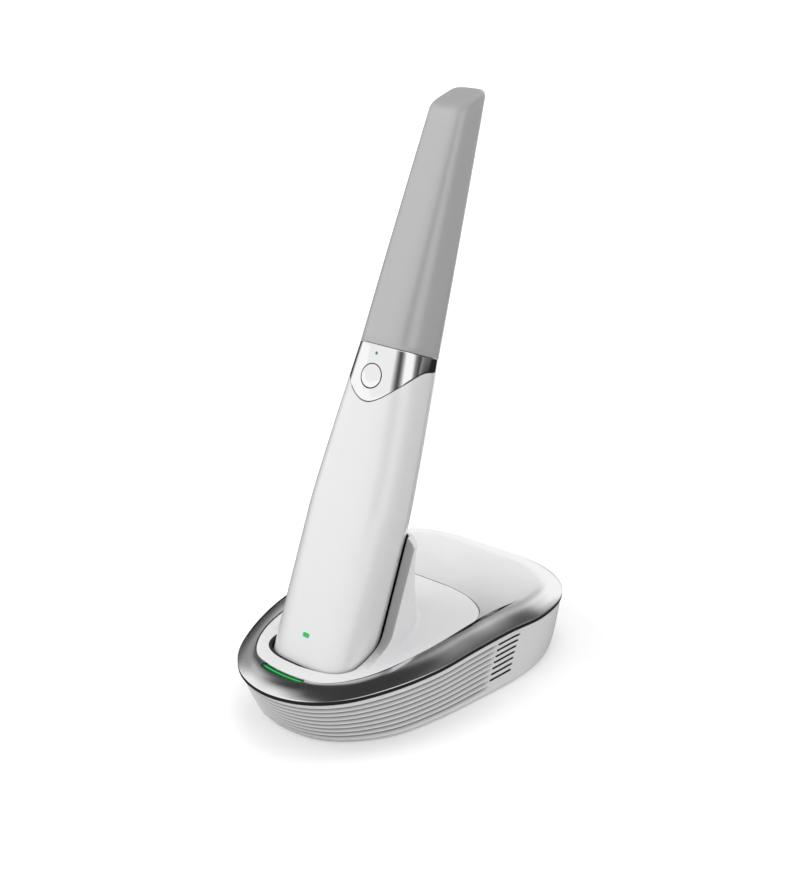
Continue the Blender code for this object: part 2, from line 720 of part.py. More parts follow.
def make_tip_sleeve(material, wand):
    """A hollow sleeve, closed at its slanted end and open where the barrel enters."""
    start = BAND_TOP + GAP
    rings = [end_ring(SLEEVE_WALL, SLEEVE_END_WALL)]
    rings += [wand_ring(start, SLEEVE_WALL), wand_ring(start)]
    rings += [wand_ring(start + (TIP_SHOULDER - start) * share) for share in (0.33, 0.66, 0.9)]
    for step in range(EDGE_STEPS + 1):
        turn = math.pi / 2 * step / EDGE_STEPS
        depth = TIP_EDGE_ROUND * (1 - math.cos(turn))
        rings.append(end_ring(depth, TIP_EDGE_ROUND * (1 - math.sin(turn))))
    sleeve = add_object("tip_sleeve", loft(rings), material, wand)
    half = WINDOW_WIDTH / 2
    window = block(
        (-half, TIP_SETBACK + TIP_DEPTH * 0.6, WINDOW_END - WINDOW_LENGTH),
        (half, TIP_SETBACK + TIP_DEPTH * 2, WINDOW_END),
    )
    bmesh.ops.bevel(
        window, geom=[e for e in window.edges if abs(e.verts[0].co.y - e.verts[1].co.y) > MM],
        offset=WINDOW_CORNER, segments=3, affect="EDGES", profile=0.5,
    )
    combine(sleeve, add_cutter("window_hole", window, wand))
    return sleeve


def make_tip_mirror(material, wand):
    half = MIRROR_WIDTH / 2
    top = -SLEEVE_END_WALL * math.cos(TIP_SLANT) - GAP
    back = MIRROR_SETBACK + MIRROR_LENGTH
    plate = block((-half, MIRROR_SETBACK, top - MIRROR_THICKNESS), (half, back, top))
    mirror = add_object("tip_mirror", plate, material, wand)
    mirror.location = (0.0, TIP_SETBACK, TIP_SHOULDER)
    mirror.rotation_euler = (TIP_SLANT, 0.0, 0.0)
    return mirror


def make_nose_barrel(material, wand):
    outer = BARREL_INSET
    inner = BARREL_INSET + BARREL_WALL
    seal_end = SEAL_POSITION + SEAL_HEIGHT
    outside = (BARREL_START, (BARREL_START + BAND_TOP) / 2, BAND_TOP, SEAL_POSITION)
    rings = [wand_ring(z, outer) for z in outside]
    rings.append(wand_ring(SEAL_POSITION, outer + SEAL_SINK))
    rings.append(wand_ring(seal_end, outer + SEAL_SINK))
    rings += [wand_ring(z, outer) for z in (seal_end, BARREL_END)]
    glass_z = BARREL_END - GLASS_THICKNESS - GAP
    rings += [wand_ring(z, outer + BARREL_WALL / 2) for z in (BARREL_END, glass_z)]
    rings += [wand_ring(z, inner + SEAL_SINK) for z in (glass_z, BAND_TOP, BARREL_START)]
    barrel = add_object("nose_barrel", loft(rings, looped=True), material, wand)
    clear = BUTTON_RADIUS + BUTTON_FLANGE + BUTTON_ROOM
    opening = block(
        (-clear, -GAP, BARREL_START - GAP), (clear, GRIP_DEPTH / 3, BUTTON_POSITION + clear)
    )
    combine(barrel, add_cutter("button_room", opening, wand))
    status = rod_back(
        STATUS_RADIUS + GAP, (0.0, STATUS_POSITION), -GAP, GRIP_DEPTH / 3, PIN_STEPS
    )
    combine(barrel, add_cutter("status_room", status, wand))
    return barrel


def make_nose_glass(material, wand):
    depth = BARREL_INSET + BARREL_WALL / 2 + GAP
    rings = [wand_ring(z, depth) for z in (BARREL_END - GLASS_THICKNESS, BARREL_END)]
    return add_object("nose_glass", loft(rings), material, wand)


def make_tip_seal(material, wand):
    low = SEAL_POSITION + GAP / 2
    high = SEAL_POSITION + SEAL_HEIGHT - GAP / 2
    inside = BARREL_INSET + SEAL_SINK - GAP
    outside = SLEEVE_WALL + GAP / 2
    middle = (low + high) / 2
    rings = [
        wand_ring(low, inside), wand_ring(low, (inside + outside) / 2), wand_ring(middle, outside),
        wand_ring(high, (inside + outside) / 2), wand_ring(high, inside),
    ]
    return add_object("tip_seal", loft(rings, looped=True), material, wand)


def lens_centre(side, along):
    setback, half_depth = wand_size(along)[2], wand_size(along)[1]
    return side * LENS_SPACING / 2, setback + half_depth


def make_optics_frame(material, wand):
    depth = BARREL_INSET + BARREL_WALL + SEAL_SINK + GAP
    end = OPTICS_FRAME_START + OPTICS_FRAME_LENGTH
    frame = add_object(
        "optics_frame", loft([wand_ring(z, depth) for z in (OPTICS_FRAME_START, end)]), material, wand
    )
    bores = merge([
        prism(disc_points(LENS_RADIUS + GAP, lens_centre(side, OPTICS_FRAME_START)),
              OPTICS_FRAME_START - GAP, end + GAP)
        for side in (-1, 1)
    ])
    combine(frame, add_cutter("lens_bores", bores, wand))
    return frame


def make_lens_module(name, side, material, wand):
    """A turned lens barrel: a wide body behind, a narrower nose and a dished front."""
    centre = lens_centre(side, OPTICS_FRAME_START)
    middle = OPTICS_FRAME_START + OPTICS_FRAME_LENGTH / 2
    back = middle - LENS_LENGTH / 2
    front = middle + LENS_LENGTH / 2
    profile = (
        (LENS_RADIUS * 0.8, back), (LENS_RADIUS, back + LENS_STEP), (LENS_RADIUS, front - LENS_STEP),
        (LENS_RADIUS * 0.85, front), (LENS_RADIUS * 0.6, front), (LENS_RADIUS * 0.5, front - LENS_STEP),
    )
    rings = [[(x, y, z) for x, y in disc_points(r, centre)] for r, z in profile]
    return add_object(name, loft(rings), material, wand)


# Band, button and lights

def make_band_ring(material, wand):
    shares = (0.35, 0.7)
    rings = [edge_ring(0.0)] + [between_ring(0.0, share) for share in shares]
    rings += [wand_ring(BAND_TOP), wand_ring(BAND_TOP, WAND_WALL)]
    rings += [between_ring(WAND_WALL, share) for share in reversed(shares)] + [edge_ring(WAND_WALL)]
    band = add_object("band_ring", loft(rings, looped=True), material, wand)
    radius = BUTTON_RADIUS + BUTTON_CLEARANCE
    reach = WAND_WALL * 3
    hole = rod_back(radius, (0.0, BUTTON_POSITION), -WAND_WALL, reach, BUTTON_STEPS)
    combine(band, add_cutter("button_hole", hole, wand))
    status = rod_back(
        STATUS_RADIUS + GAP, (0.0, STATUS_POSITION), -WAND_WALL, reach, PIN_STEPS
    )
    combine(band, add_cutter("status_hole", status, wand))
    return band


def make_scan_button(material, wand):
    """A flat disc with a retaining flange behind the band's skin."""
    flange = WAND_WALL + BUTTON_PLAY
    flange_back = flange + BUTTON_FLANGE_THICKNESS
    flange_radius = BUTTON_RADIUS + BUTTON_FLANGE
    stem = BUTTON_RADIUS * 0.35
    profile = (
        (BUTTON_RADIUS - BUTTON_EDGE, 0.0), (BUTTON_RADIUS, BUTTON_EDGE), (BUTTON_RADIUS, flange),
        (flange_radius, flange), (flange_radius, flange_back),
        (stem, flange_back), (stem, flange + BUTTON_THICKNESS),
    )
    rings = []
    for radius, back in profile:
        rings.append([(x, back, z) for x, z in disc_points(radius, steps=BUTTON_STEPS)])
    button = add_object("scan_button", loft(rings), material, wand)
    button.location = (0.0, 0.0, BUTTON_POSITION)
    return button


def make_button_switch(material, wand):
    half = SWITCH_SIZE / 2
    back = SWITCH_FRONT + SWITCH_HEIGHT
    body = block(
        (-half, SWITCH_FRONT + SWITCH_HEIGHT / 2, BUTTON_POSITION - half),
        (half, back, BUTTON_POSITION + half),
    )
    switch = add_object("button_switch", body, material, wand)
    dome_end = SWITCH_FRONT + SWITCH_HEIGHT * 0.7
    dome = rod_back(SWITCH_SIZE / 4, (0.0, BUTTON_POSITION), SWITCH_FRONT, dome_end)
    combine(switch, add_cutter("switch_dome", dome, wand), "UNION")
    return switch


def make_button_board(material, wand):
    """A small board behind the button that carries its switch."""
    front = SWITCH_FRONT + SWITCH_HEIGHT + GAP
    half = BUTTON_RADIUS + BUTTON_FLANGE
    body = block(
        (-half, front, BUTTON_POSITION - half * 1.6),
        (half, front + BOARD_THICKNESS, STATUS_POSITION + half * 0.3),
    )
    return add_object("button_board", body, material, wand)


def make_status_light(material, wand):
    end = SWITCH_FRONT + SWITCH_HEIGHT
    light = rod_back(STATUS_RADIUS, (0.0, STATUS_POSITION), 0.0, end, PIN_STEPS)
    return add_object("status_light", light, material, wand)


# Handle

def handle_cup():
    """The whole handle as one cup, before it is split into its two shells."""
    rounds = ((0.0, 1.0), (0.1, 0.55), (0.35, 0.2), (1.0, 0.0))
    outside = [wand_ring(FOOT_ROUND * up, FOOT_ROUND * depth) for up, depth in rounds]
    levels = [SHOULDER * 0.5, SHOULDER, SHOULDER * 1.25, SHOULDER * 1.5]
    outside += [wand_ring(z) for z in levels]
    outside.append(edge_ring(0.0, -GAP))
    inside = [edge_ring(WAND_WALL, -GAP)] + [wand_ring(z, WAND_WALL) for z in reversed(levels)]
    inside += [wand_ring(FOOT_ROUND, WAND_WALL), wand_ring(WAND_WALL, FOOT_ROUND)]
    return loft(outside + inside)


def half_space(name, low_y, high_y, wand):
    reach = GRIP_WIDTH
    return add_cutter(name, block((-reach, low_y, -reach), (reach, high_y, BAND_TOP)), wand)


def board_boss_places():
    reach = BOARD_WIDTH / 2 - BOSS_RADIUS
    return [
        (side * reach, z) for z in (BOARD_START + 2 * BOSS_RADIUS, BOARD_END - 2 * BOSS_RADIUS)
        for side in (-1, 1)
    ]


def board_front():
    """The board's front face, just before the battery."""
    return battery_back() - BATTERY_THICKNESS - GAP * 2 - BOARD_THICKNESS


def battery_back():
    """The battery's corners touch the rear shell's curve."""
    half_width = GRIP_WIDTH / 2 - WAND_WALL
    half_depth = GRIP_DEPTH / 2 - WAND_WALL
    share = 1 - (BATTERY_WIDTH / 2 / half_width) ** GRIP_SQUARENESS
    return GRIP_DEPTH / 2 + half_depth * share ** (1 / GRIP_SQUARENESS) - GAP


def make_front_shell(material, wand):
    shell = add_object("front_shell", handle_cup(), material, wand)
    combine(shell, half_space("rear_side", SEAM_DEPTH - GAP / 2, GRIP_DEPTH * 2, wand))
    lamp = lamp_block(GAP, -WAND_WALL, WAND_WALL * 2)
    combine(shell, add_cutter("lamp_hole", lamp, wand))
    bosses = merge([
        rod_back(BOSS_RADIUS, spot, WAND_WALL * 0.6, board_front() - GAP, SCREW_STEPS)
        for spot in board_boss_places()
    ])
    combine(shell, add_cutter("board_bosses", bosses, wand), "UNION")
    hole_end = board_front() - SCREW_BITE - GAP
    holes = merge([
        rod_back(SCREW_RADIUS + GAP, spot, hole_end, board_front() + GAP, SCREW_STEPS)
        for spot in board_boss_places()
    ])
    combine(shell, add_cutter("boss_holes", holes, wand))
    contacts = contact_rods(CONTACT_RADIUS + GAP, -GAP, WAND_WALL + GAP)
    combine(shell, add_cutter("contact_holes", contacts, wand))
    return shell


def make_rear_shell(material, wand):
    shell = add_object("rear_shell", handle_cup(), material, wand)
    combine(shell, half_space("front_side", -GRIP_DEPTH, SEAM_DEPTH + GAP / 2, wand))
    return shell


def lamp_block(grow, front, back):
    half = LAMP_WIDTH / 2 + grow
    rise = LAMP_HEIGHT / 2 + grow
    return block((-half, front, LAMP_POSITION - rise), (half, back, LAMP_POSITION + rise))


def make_charge_light(material, wand):
    return add_object("charge_light", lamp_block(0.0, LAMP_SINK, WAND_WALL), material, wand)


def make_main_board(material, wand):
    front = board_front()
    back = front + BOARD_THICKNESS
    half = BOARD_WIDTH / 2
    sheet = block((-half, front, BOARD_START), (half, back, BOARD_END))
    board = add_object("main_board", sheet, material, wand)
    holes = merge([
        rod_back(SCREW_RADIUS + GAP, spot, front - GAP, back + GAP, SCREW_STEPS)
        for spot in board_boss_places()
    ])
    combine(board, add_cutter("board_holes", holes, wand))
    return board


def make_board_screws(material, wand):
    rear = board_front() + BOARD_THICKNESS + GAP
    profile = (
        (SCREW_RADIUS, board_front() - SCREW_BITE), (SCREW_RADIUS, rear),
        (SCREW_HEAD_RADIUS, rear), (SCREW_HEAD_RADIUS, rear + SCREW_HEAD_HEIGHT),
    )
    for number, spot in enumerate(board_boss_places(), 1):
        rings = [
            [(x, back, z) for x, z in disc_points(radius, spot, SCREW_STEPS)]
            for radius, back in profile
        ]
        add_object(f"board_screw_{number}", loft(rings), material, wand)


def make_battery_pack(material, wand):
    half = BATTERY_WIDTH / 2
    back = battery_back()
    top = BATTERY_START + BATTERY_LENGTH
    pack = block((-half, back - BATTERY_THICKNESS, BATTERY_START), (half, back, top))
    bmesh.ops.bevel(
        pack, geom=[e for e in pack.edges if abs(e.verts[0].co.z - e.verts[1].co.z) > MM],
        offset=BATTERY_CORNER, segments=2, affect="EDGES", profile=0.5,
    )
    return add_object("battery_pack", pack, material, wand)


def contact_rods(radius, low, high):
    spots = [(side * CONTACT_SPACING / 2, CONTACT_DEPTH) for side in (-1, 1)]
    return merge([prism(disc_points(radius, spot), low, high) for spot in spots])


def make_charge_contact(name, side, material, wand):
    outline = disc_points(CONTACT_RADIUS, (side * CONTACT_SPACING / 2, CONTACT_DEPTH))
    return add_object(name, prism(outline, CONTACT_SINK, WAND_WALL), material, wand)


# Inlay with its well and holster

def pocket_rings(levels, extra):
    """The grip's section, grown by a clearance, at some levels along the wand's axis."""
    section = wand_ring(0.0, -extra)
    return [[(x, y, along) for x, y, _ in section] for along in levels]


def holster_section(z):
    """Plan of the holster at a height: a straight front edge and a round back."""
    height = max(z - TOP_Z, 0.0)
    share = height / (HOLSTER_TOP - TOP_Z)
    rim_y = WAND_FOOT_Y + (z - WAND_FOOT_Z) * math.tan(LEAN) + HOLSTER_RIM_DEPTH / math.cos(LEAN)
    front_y = rim_y - HOLSTER_SWEEP * max(0.0, 1 - height / HOLSTER_SWEEP_HEIGHT) ** 3
    back_y = WAND_FOOT_Y + HOLSTER_BACK_LOW + (HOLSTER_BACK_HIGH - HOLSTER_BACK_LOW) * share
    flare = HOLSTER_FLARE * max(0.0, 1 - height / HOLSTER_FLARE_HEIGHT) ** 2
    half_width = HOLSTER_HALF_WIDTH + flare
    power = HOLSTER_ROUNDNESS - HOLSTER_ROUNDNESS_LOSS * share
    ring = []
    for i in range(HOLSTER_STEPS + 1):
        turn = math.pi * i / HOLSTER_STEPS
        x = half_width * signed_power(math.cos(turn), 2 / power)
        y = front_y + (back_y + flare - front_y) * abs(math.sin(turn)) ** (2 / power)
        ring.append((x, y, z))
    return ring


def holster_body(wand):
    """The back rest behind the grip, trimmed to an arch by a tongue that lies in the wand's frame."""
    top = WAND_FOOT_Z + HOLSTER_TOP * math.cos(LEAN)
    rises = [(i / HOLSTER_LEVELS) ** 2 for i in range(HOLSTER_LEVELS + 1)]
    levels = [TOP_Z - HOLSTER_ROOT] + [TOP_Z + (top - TOP_Z) * rise for rise in rises]
    body = add_cutter("holster_body", loft([holster_section(z) for z in levels]))
    half = HOLSTER_HALF_WIDTH + HOLSTER_SPARE
    corner = HOLSTER_CORNER + HOLSTER_SPARE
    tongue = [(-half, 0.0), (half, 0.0)]
    for centre_x, first in ((half - corner, 0.0), (corner - half, 90.0)):
        for i in range(7):
            turn = math.radians(first + 90.0 * i / 6)
            height = HOLSTER_TOP - corner + corner * math.sin(turn)
            tongue.append((centre_x + corner * math.cos(turn), height))
    builder = prism([(x, -z) for x, z in tongue], -GRIP_DEPTH, GRIP_DEPTH * 3)
    for vertex in builder.verts:
        x, y, z = vertex.co
        vertex.co = (x, z, -y)
    combine(body, add_cutter("holster_tongue", builder, wand), "INTERSECT")
    return body


def make_cradle_inlay(material, wand):
    edge = inset(INLAY_RING, GAP)
    flange = inset(INLAY_RING, -FLANGE_WIDTH)
    flange_low = FLANGE_TOP_Z - FLANGE_THICKNESS
    rings = [
        at_height(edge, TOP_Z), at_height(edge, FLANGE_TOP_Z), at_height(flange, FLANGE_TOP_Z),
        at_height(flange, flange_low),
    ]
    inlay = add_object("cradle_inlay", loft(rings), material)
    outer = POCKET_CLEARANCE + WELL_WALL
    well_top = (WAND_SINK + (GRIP_DEPTH + outer) * math.sin(LEAN)) / math.cos(LEAN)
    well = add_cutter("well_wall", loft(pocket_rings((-GAP - WELL_WALL, well_top), outer)), wand)
    roof = block((-DOCK_WIDTH, -DOCK_LENGTH, FLANGE_TOP_Z), (DOCK_WIDTH, DOCK_LENGTH, TOP_Z * 4))
    combine(well, add_cutter("well_roof", roof))
    combine(inlay, well, "UNION")
    combine(inlay, holster_body(wand), "UNION")
    pocket = add_cutter("pocket", loft(pocket_rings((-GAP, TIP_SHOULDER), POCKET_CLEARANCE)), wand)
    combine(inlay, pocket)
    holes = contact_rods(PIN_RADIUS + GAP, -WELL_WALL * 3, WELL_WALL)
    combine(inlay, add_cutter("pin_holes", holes, wand))
    return inlay


def make_pin_block(material, wand):
    top = -GAP - WELL_WALL - GAP
    half = PIN_BLOCK_WIDTH / 2
    body = block(
        (-half, CONTACT_DEPTH - PIN_BLOCK_DEPTH / 2, top - PIN_BLOCK_HEIGHT),
        (half, CONTACT_DEPTH + PIN_BLOCK_DEPTH / 2, top),
    )
    holder = add_object("pin_block", body, material, wand)
    low = -GAP - PIN_LENGTH - GAP - PIN_STOP
    combine(holder, add_cutter("pin_bores", contact_rods(PIN_RADIUS + GAP, low, 0.0), wand))
    return holder


def make_charge_pin(name, side, material, wand):
    profile = (
        (PIN_RADIUS, 0.0), (PIN_RADIUS, PIN_LENGTH - PIN_RADIUS * 0.6),
        (PIN_RADIUS * 0.7, PIN_LENGTH - PIN_POINT), (PIN_RADIUS * 0.3, PIN_LENGTH),
    )
    rings = [at_height(disc_points(radius, steps=PIN_STEPS), z) for radius, z in profile]
    pin = add_object(name, loft(rings), material, wand)
    pin.location = (side * CONTACT_SPACING / 2, CONTACT_DEPTH, -GAP / 2 - PIN_LENGTH)
    return pin


def build():
    clear_scene()
    white = finish("white_shell", (0.86, 0.86, 0.87), 0.35)
    grey_tip = finish("grey_tip", (0.47, 0.47, 0.48), 0.55)
    silver = finish("silver_cover", (0.78, 0.78, 0.80), 0.18, 1.0)
    chrome = finish("polished_band", (0.82, 0.82, 0.84), 0.08, 1.0)
    base_grey = finish("base_grey", (0.74, 0.74, 0.75), 0.45)
    black = finish("black_plastic", (0.03, 0.03, 0.03), 0.5)
    rubber = finish("rubber", (0.05, 0.05, 0.05), 0.8)
    steel = finish("steel", (0.6, 0.6, 0.62), 0.3, 1.0)
    gold = finish("gold_contact", (0.9, 0.7, 0.3), 0.25, 1.0)
    board = finish("circuit_board", (0.02, 0.2, 0.08), 0.5)
    mirror = finish("mirror", (0.9, 0.9, 0.9), 0.02, 1.0)
    glass = finish("glass", (0.85, 0.9, 0.95), 0.03)
    green = finish("green_light", (0.02, 0.75, 0.25), 0.3, 0.0, 2.0)
    cell = finish("battery_wrap", (0.1, 0.2, 0.45), 0.4)

    wand = bpy.data.objects.new("wand_frame", None)
    bpy.context.scene.collection.objects.link(wand)
    wand.location = (0.0, WAND_FOOT_Y, WAND_FOOT_Z)
    wand.rotation_euler = (-LEAN, 0.0, 0.0)

    make_top_cover(silver)
    make_light_bar(green)
    make_base_body(base_grey)
    make_bottom_plate(black)
    make_rubber_feet(rubber)
    make_base_screws(steel)
    make_dock_board(board)
    make_power_socket(black)
    make_cradle_inlay(white, wand)
    make_pin_block(black, wand)
    make_charge_pin("charge_pin_left", -1, gold, wand)
    make_charge_pin("charge_pin_right", 1, gold, wand)

    make_front_shell(white, wand)
    make_rear_shell(white, wand)
    make_charge_light(green, wand)
    make_main_board(board, wand)
    make_board_screws(steel, wand)
    make_battery_pack(cell, wand)
    make_charge_contact("charge_contact_left", -1, gold, wand)
    make_charge_contact("charge_contact_right", 1, gold, wand)
    make_band_ring(chrome, wand)
    make_scan_button(chrome, wand)
    make_button_switch(black, wand)
    make_button_board(board, wand)
    make_status_light(green, wand)
    make_nose_barrel(black, wand)
    make_nose_glass(glass, wand)
    make_tip_seal(rubber, wand)
    make_optics_frame(steel, wand)
    make_lens_module("camera_module", -1, black, wand)
    make_lens_module("projector_module", 1, black, wand)
    make_tip_sleeve(grey_tip, wand)
    make_tip_mirror(mirror, wand)
    bpy.context.view_layer.update()


build()
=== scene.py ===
import json
import math

import bmesh
import bpy
from mathutils import Matrix, Vector


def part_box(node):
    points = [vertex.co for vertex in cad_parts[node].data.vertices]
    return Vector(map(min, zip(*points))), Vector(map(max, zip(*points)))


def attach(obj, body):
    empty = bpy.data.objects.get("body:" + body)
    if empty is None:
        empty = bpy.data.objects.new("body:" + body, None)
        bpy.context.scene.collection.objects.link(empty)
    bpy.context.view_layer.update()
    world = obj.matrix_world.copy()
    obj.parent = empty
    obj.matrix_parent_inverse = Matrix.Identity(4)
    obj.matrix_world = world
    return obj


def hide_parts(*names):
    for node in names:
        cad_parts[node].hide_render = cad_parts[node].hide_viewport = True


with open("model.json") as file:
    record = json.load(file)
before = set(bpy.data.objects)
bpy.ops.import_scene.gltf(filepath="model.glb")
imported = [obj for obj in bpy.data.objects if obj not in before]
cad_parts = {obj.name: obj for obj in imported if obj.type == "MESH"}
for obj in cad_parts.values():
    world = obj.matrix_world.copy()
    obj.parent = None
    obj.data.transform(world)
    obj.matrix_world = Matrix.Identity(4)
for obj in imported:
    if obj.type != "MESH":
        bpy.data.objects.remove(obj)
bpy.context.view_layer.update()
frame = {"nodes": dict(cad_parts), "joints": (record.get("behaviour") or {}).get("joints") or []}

# Studio: a round sheet of white paper, three soft lamps, and black and white cards that only
# polished surfaces see. The cards and the paper's bright side give the silver and the chrome
# their light and dark bands.
MM = 0.001
CAMERA_PLACE = (0.34829, -0.43784, 0.34778)
CAMERA_AZIMUTH = math.radians(37.99)
CAMERA_ELEVATION = math.radians(22.69)
CAMERA_SENSOR = 36.0
CAMERA_LENS = 55.79
FLOOR_RADIUS = 6.0
AMBIENT = 0.72
CEILING_GREY = 0.03
CEILING_FROM = 0.56
CEILING_TO = 0.84

scene = bpy.context.scene
scene.view_settings.view_transform = "Standard"


def aim(thing, direction):
    thing.rotation_mode = "QUATERNION"
    thing.rotation_quaternion = Vector(direction).to_track_quat("-Z", "Y")


camera = bpy.data.objects.new("camera", bpy.data.cameras.new("camera"))
camera.data.sensor_width = CAMERA_SENSOR
camera.data.lens = CAMERA_LENS
camera.data.clip_start = 0.01
camera.location = CAMERA_PLACE
aim(camera, (
    -math.sin(CAMERA_AZIMUTH) * math.cos(CAMERA_ELEVATION),
    math.cos(CAMERA_AZIMUTH) * math.cos(CAMERA_ELEVATION),
    -math.sin(CAMERA_ELEVATION),
))
scene.collection.objects.link(camera)
scene.camera = camera


def background(tree, colour, strength):
    light = tree.nodes.new("ShaderNodeBackground")
    light.inputs["Color"].default_value = (colour, colour, colour, 1.0)
    light.inputs["Strength"].default_value = strength
    return light.outputs["Background"]


def feed(tree, socket, value):
    """Sets an input to a value, or links it to another node's output."""
    if isinstance(value, bpy.types.NodeSocket):
        tree.links.new(value, socket)
    else:
        socket.default_value = value


def math_node(tree, operation, first, second):
    node = tree.nodes.new("ShaderNodeMath")
    node.operation = operation
    feed(tree, node.inputs[0], first)
    feed(tree, node.inputs[1], second)
    return node.outputs["Value"]


def map_range(tree, value, start, end, least=0.0, most=1.0, kind="LINEAR"):
    node = tree.nodes.new("ShaderNodeMapRange")
    node.interpolation_type = kind
    ends = (("From Min", start), ("From Max", end), ("To Min", least), ("To Max", most))
    for name, level in (("Value", value), *ends):
        feed(tree, node.inputs[name], level)
    return node.outputs["Result"]


def mix_light(tree, share, first, second):
    mixed = tree.nodes.new("ShaderNodeMixShader")
    for index, value in enumerate((share, first, second)):
        tree.links.new(value, mixed.inputs[index])
    return mixed.outputs["Shader"]


def light_the_room():
    """White to the eye and at the horizon, darker overhead to polished surfaces, even elsewhere."""
    world = bpy.data.worlds.new("studio")
    scene.world = world
    world.use_nodes = True
    tree = world.node_tree
    tree.nodes.clear()
    height = tree.nodes.new("ShaderNodeSeparateXYZ")
    place = tree.nodes.new("ShaderNodeTexCoord").outputs["Generated"]
    tree.links.new(place, height.inputs["Vector"])
    overhead = map_range(
        tree, height.outputs["Z"], CEILING_FROM, CEILING_TO, kind="SMOOTHSTEP"
    )
    ray = tree.nodes.new("ShaderNodeLightPath").outputs
    clear = math_node(tree, "MAXIMUM", ray["Is Camera Ray"], ray["Is Transmission Ray"])
    white = background(tree, 1.0, 1.0)
    glossy = mix_light(tree, overhead, white, background(tree, CEILING_GREY, 1.0))
    lit = mix_light(tree, ray["Is Glossy Ray"], background(tree, 1.0, AMBIENT), glossy)
    output = tree.nodes.new("ShaderNodeOutputWorld")
    tree.links.new(mix_light(tree, clear, lit, white), output.inputs["Surface"])


light_the_room()


def add_lamp(name, place, target, size, power):
    lamp = bpy.data.lights.new(name, "AREA")
    lamp.shape = "DISK"
    lamp.size = size
    lamp.energy = power
    thing = bpy.data.objects.new(name, lamp)
    thing.location = place
    aim(thing, Vector(target) - Vector(place))
    thing.visible_glossy = False
    scene.collection.objects.link(thing)
    return thing


TARGET = (0.0, 0.0, 0.10)
add_lamp("key_lamp", (-0.75, -0.75, 0.95), TARGET, 0.9, 5.3)
add_lamp("top_lamp", (-0.15, 0.35, 1.30), TARGET, 0.9, 2.9)
add_lamp("fill_lamp", (0.95, -0.10, 0.45), TARGET, 0.6, 1.05)


def plain_material(name, colour, roughness):
    material = bpy.data.materials.new(name)
    material.use_nodes = True
    shader = material.node_tree.nodes["Principled BSDF"]
    shader.inputs["Base Color"].default_value = (colour, colour, colour, 1.0)
    shader.inputs["Roughness"].default_value = roughness
    return material


def add_stage(name, sheet, material):
    mesh = bpy.data.meshes.new(name)
    sheet.to_mesh(mesh)
    sheet.free()
    mesh.materials.append(material)
    thing = bpy.data.objects.new(name, mesh)
    scene.collection.objects.link(thing)
    return thing


def mix_node(tree, kind, share, first, second):
    """Mixes two colours (RGBA) or two values (FLOAT)."""
    node = tree.nodes.new("ShaderNodeMix")
    node.data_type = kind
    for name, value in (("Factor", share), ("A", first), ("B", second)):
        feed(tree, node.inputs[name], value)
    return node.outputs["Result"]


def vector_node(tree, operation, first, second=None):
    node = tree.nodes.new("ShaderNodeVectorMath")
    node.operation = operation
    feed(tree, node.inputs[0], first)
    if second is not None:
        feed(tree, node.inputs["Scale" if operation == "SCALE" else 1], second)
    return node.outputs["Value" if operation in ("LENGTH", "DOT_PRODUCT") else "Vector"]


FLOOR_DARK_REACH = 0.6
BRIGHT_SIDE = math.radians(208)
BRIGHT_NARROWING = 1.6
BRIGHT_REACH = 0.12
BRIGHT_LEAST = 0.02
FLOOR_LIFT = 0.40
LIFT_LEAST = 0.12
LIFT_FROM = 0.22
LIFT_TO = 0.90
PAPER = (0.80, 0.80, 0.80, 1.0)
WHITE = (1.0, 1.0, 1.0, 1.0)


def along_floor(tree, place, azimuth):
    """How far a place lies towards an azimuth."""
    return vector_node(
        tree, "DOT_PRODUCT", place, (math.sin(azimuth), -math.cos(azimuth), 0.0)
    )


def lay_floor():
    """White paper. Polished surfaces see it go dark towards the object, as on a set."""
    sheet = bmesh.new()
    bmesh.ops.create_circle(sheet, cap_ends=True, segments=96, radius=FLOOR_RADIUS)
    material = plain_material("white_paper", PAPER[0], 0.9)
    tree = material.node_tree
    ray = tree.nodes.new("ShaderNodeLightPath").outputs
    place = tree.nodes.new("ShaderNodeTexCoord").outputs["Object"]
    reach = vector_node(tree, "LENGTH", place)
    dark = math_node(tree, "DIVIDE", FLOOR_DARK_REACH, reach)
    along = along_floor(tree, place, BRIGHT_SIDE)
    across = along_floor(tree, place, BRIGHT_SIDE + math.pi / 2)
    sides = math_node(
        tree, "MULTIPLY", math_node(tree, "ABSOLUTE", across, 0.0), BRIGHT_NARROWING
    )
    sector = math_node(tree, "SUBTRACT", along, sides)
    behind = map_range(tree, sector, 0.0, BRIGHT_REACH, BRIGHT_LEAST)
    far = math_node(tree, "MAXIMUM", math_node(tree, "SUBTRACT", 1.0, dark), behind)
    tone = tree.nodes.new("ShaderNodeCombineColor")
    for name in ("Red", "Green", "Blue"):
        tree.links.new(far, tone.inputs[name])
    paper = mix_node(tree, "RGBA", ray["Is Camera Ray"], PAPER, WHITE)
    seen = mix_node(tree, "RGBA", ray["Is Glossy Ray"], paper, tone.outputs["Color"])
    shader = tree.nodes["Principled BSDF"]
    tree.links.new(seen, shader.inputs["Base Color"])
    shader.inputs["Specular IOR Level"].default_value = 0.0
    shader.inputs["Emission Color"].default_value = WHITE
    lift = map_range(tree, reach, LIFT_FROM, LIFT_TO, LIFT_LEAST, FLOOR_LIFT)
    glow = math_node(tree, "MULTIPLY", ray["Is Camera Ray"], lift)
    tree.links.new(glow, shader.inputs["Emission Strength"])
    return add_stage("floor", sheet, material)


lay_floor()


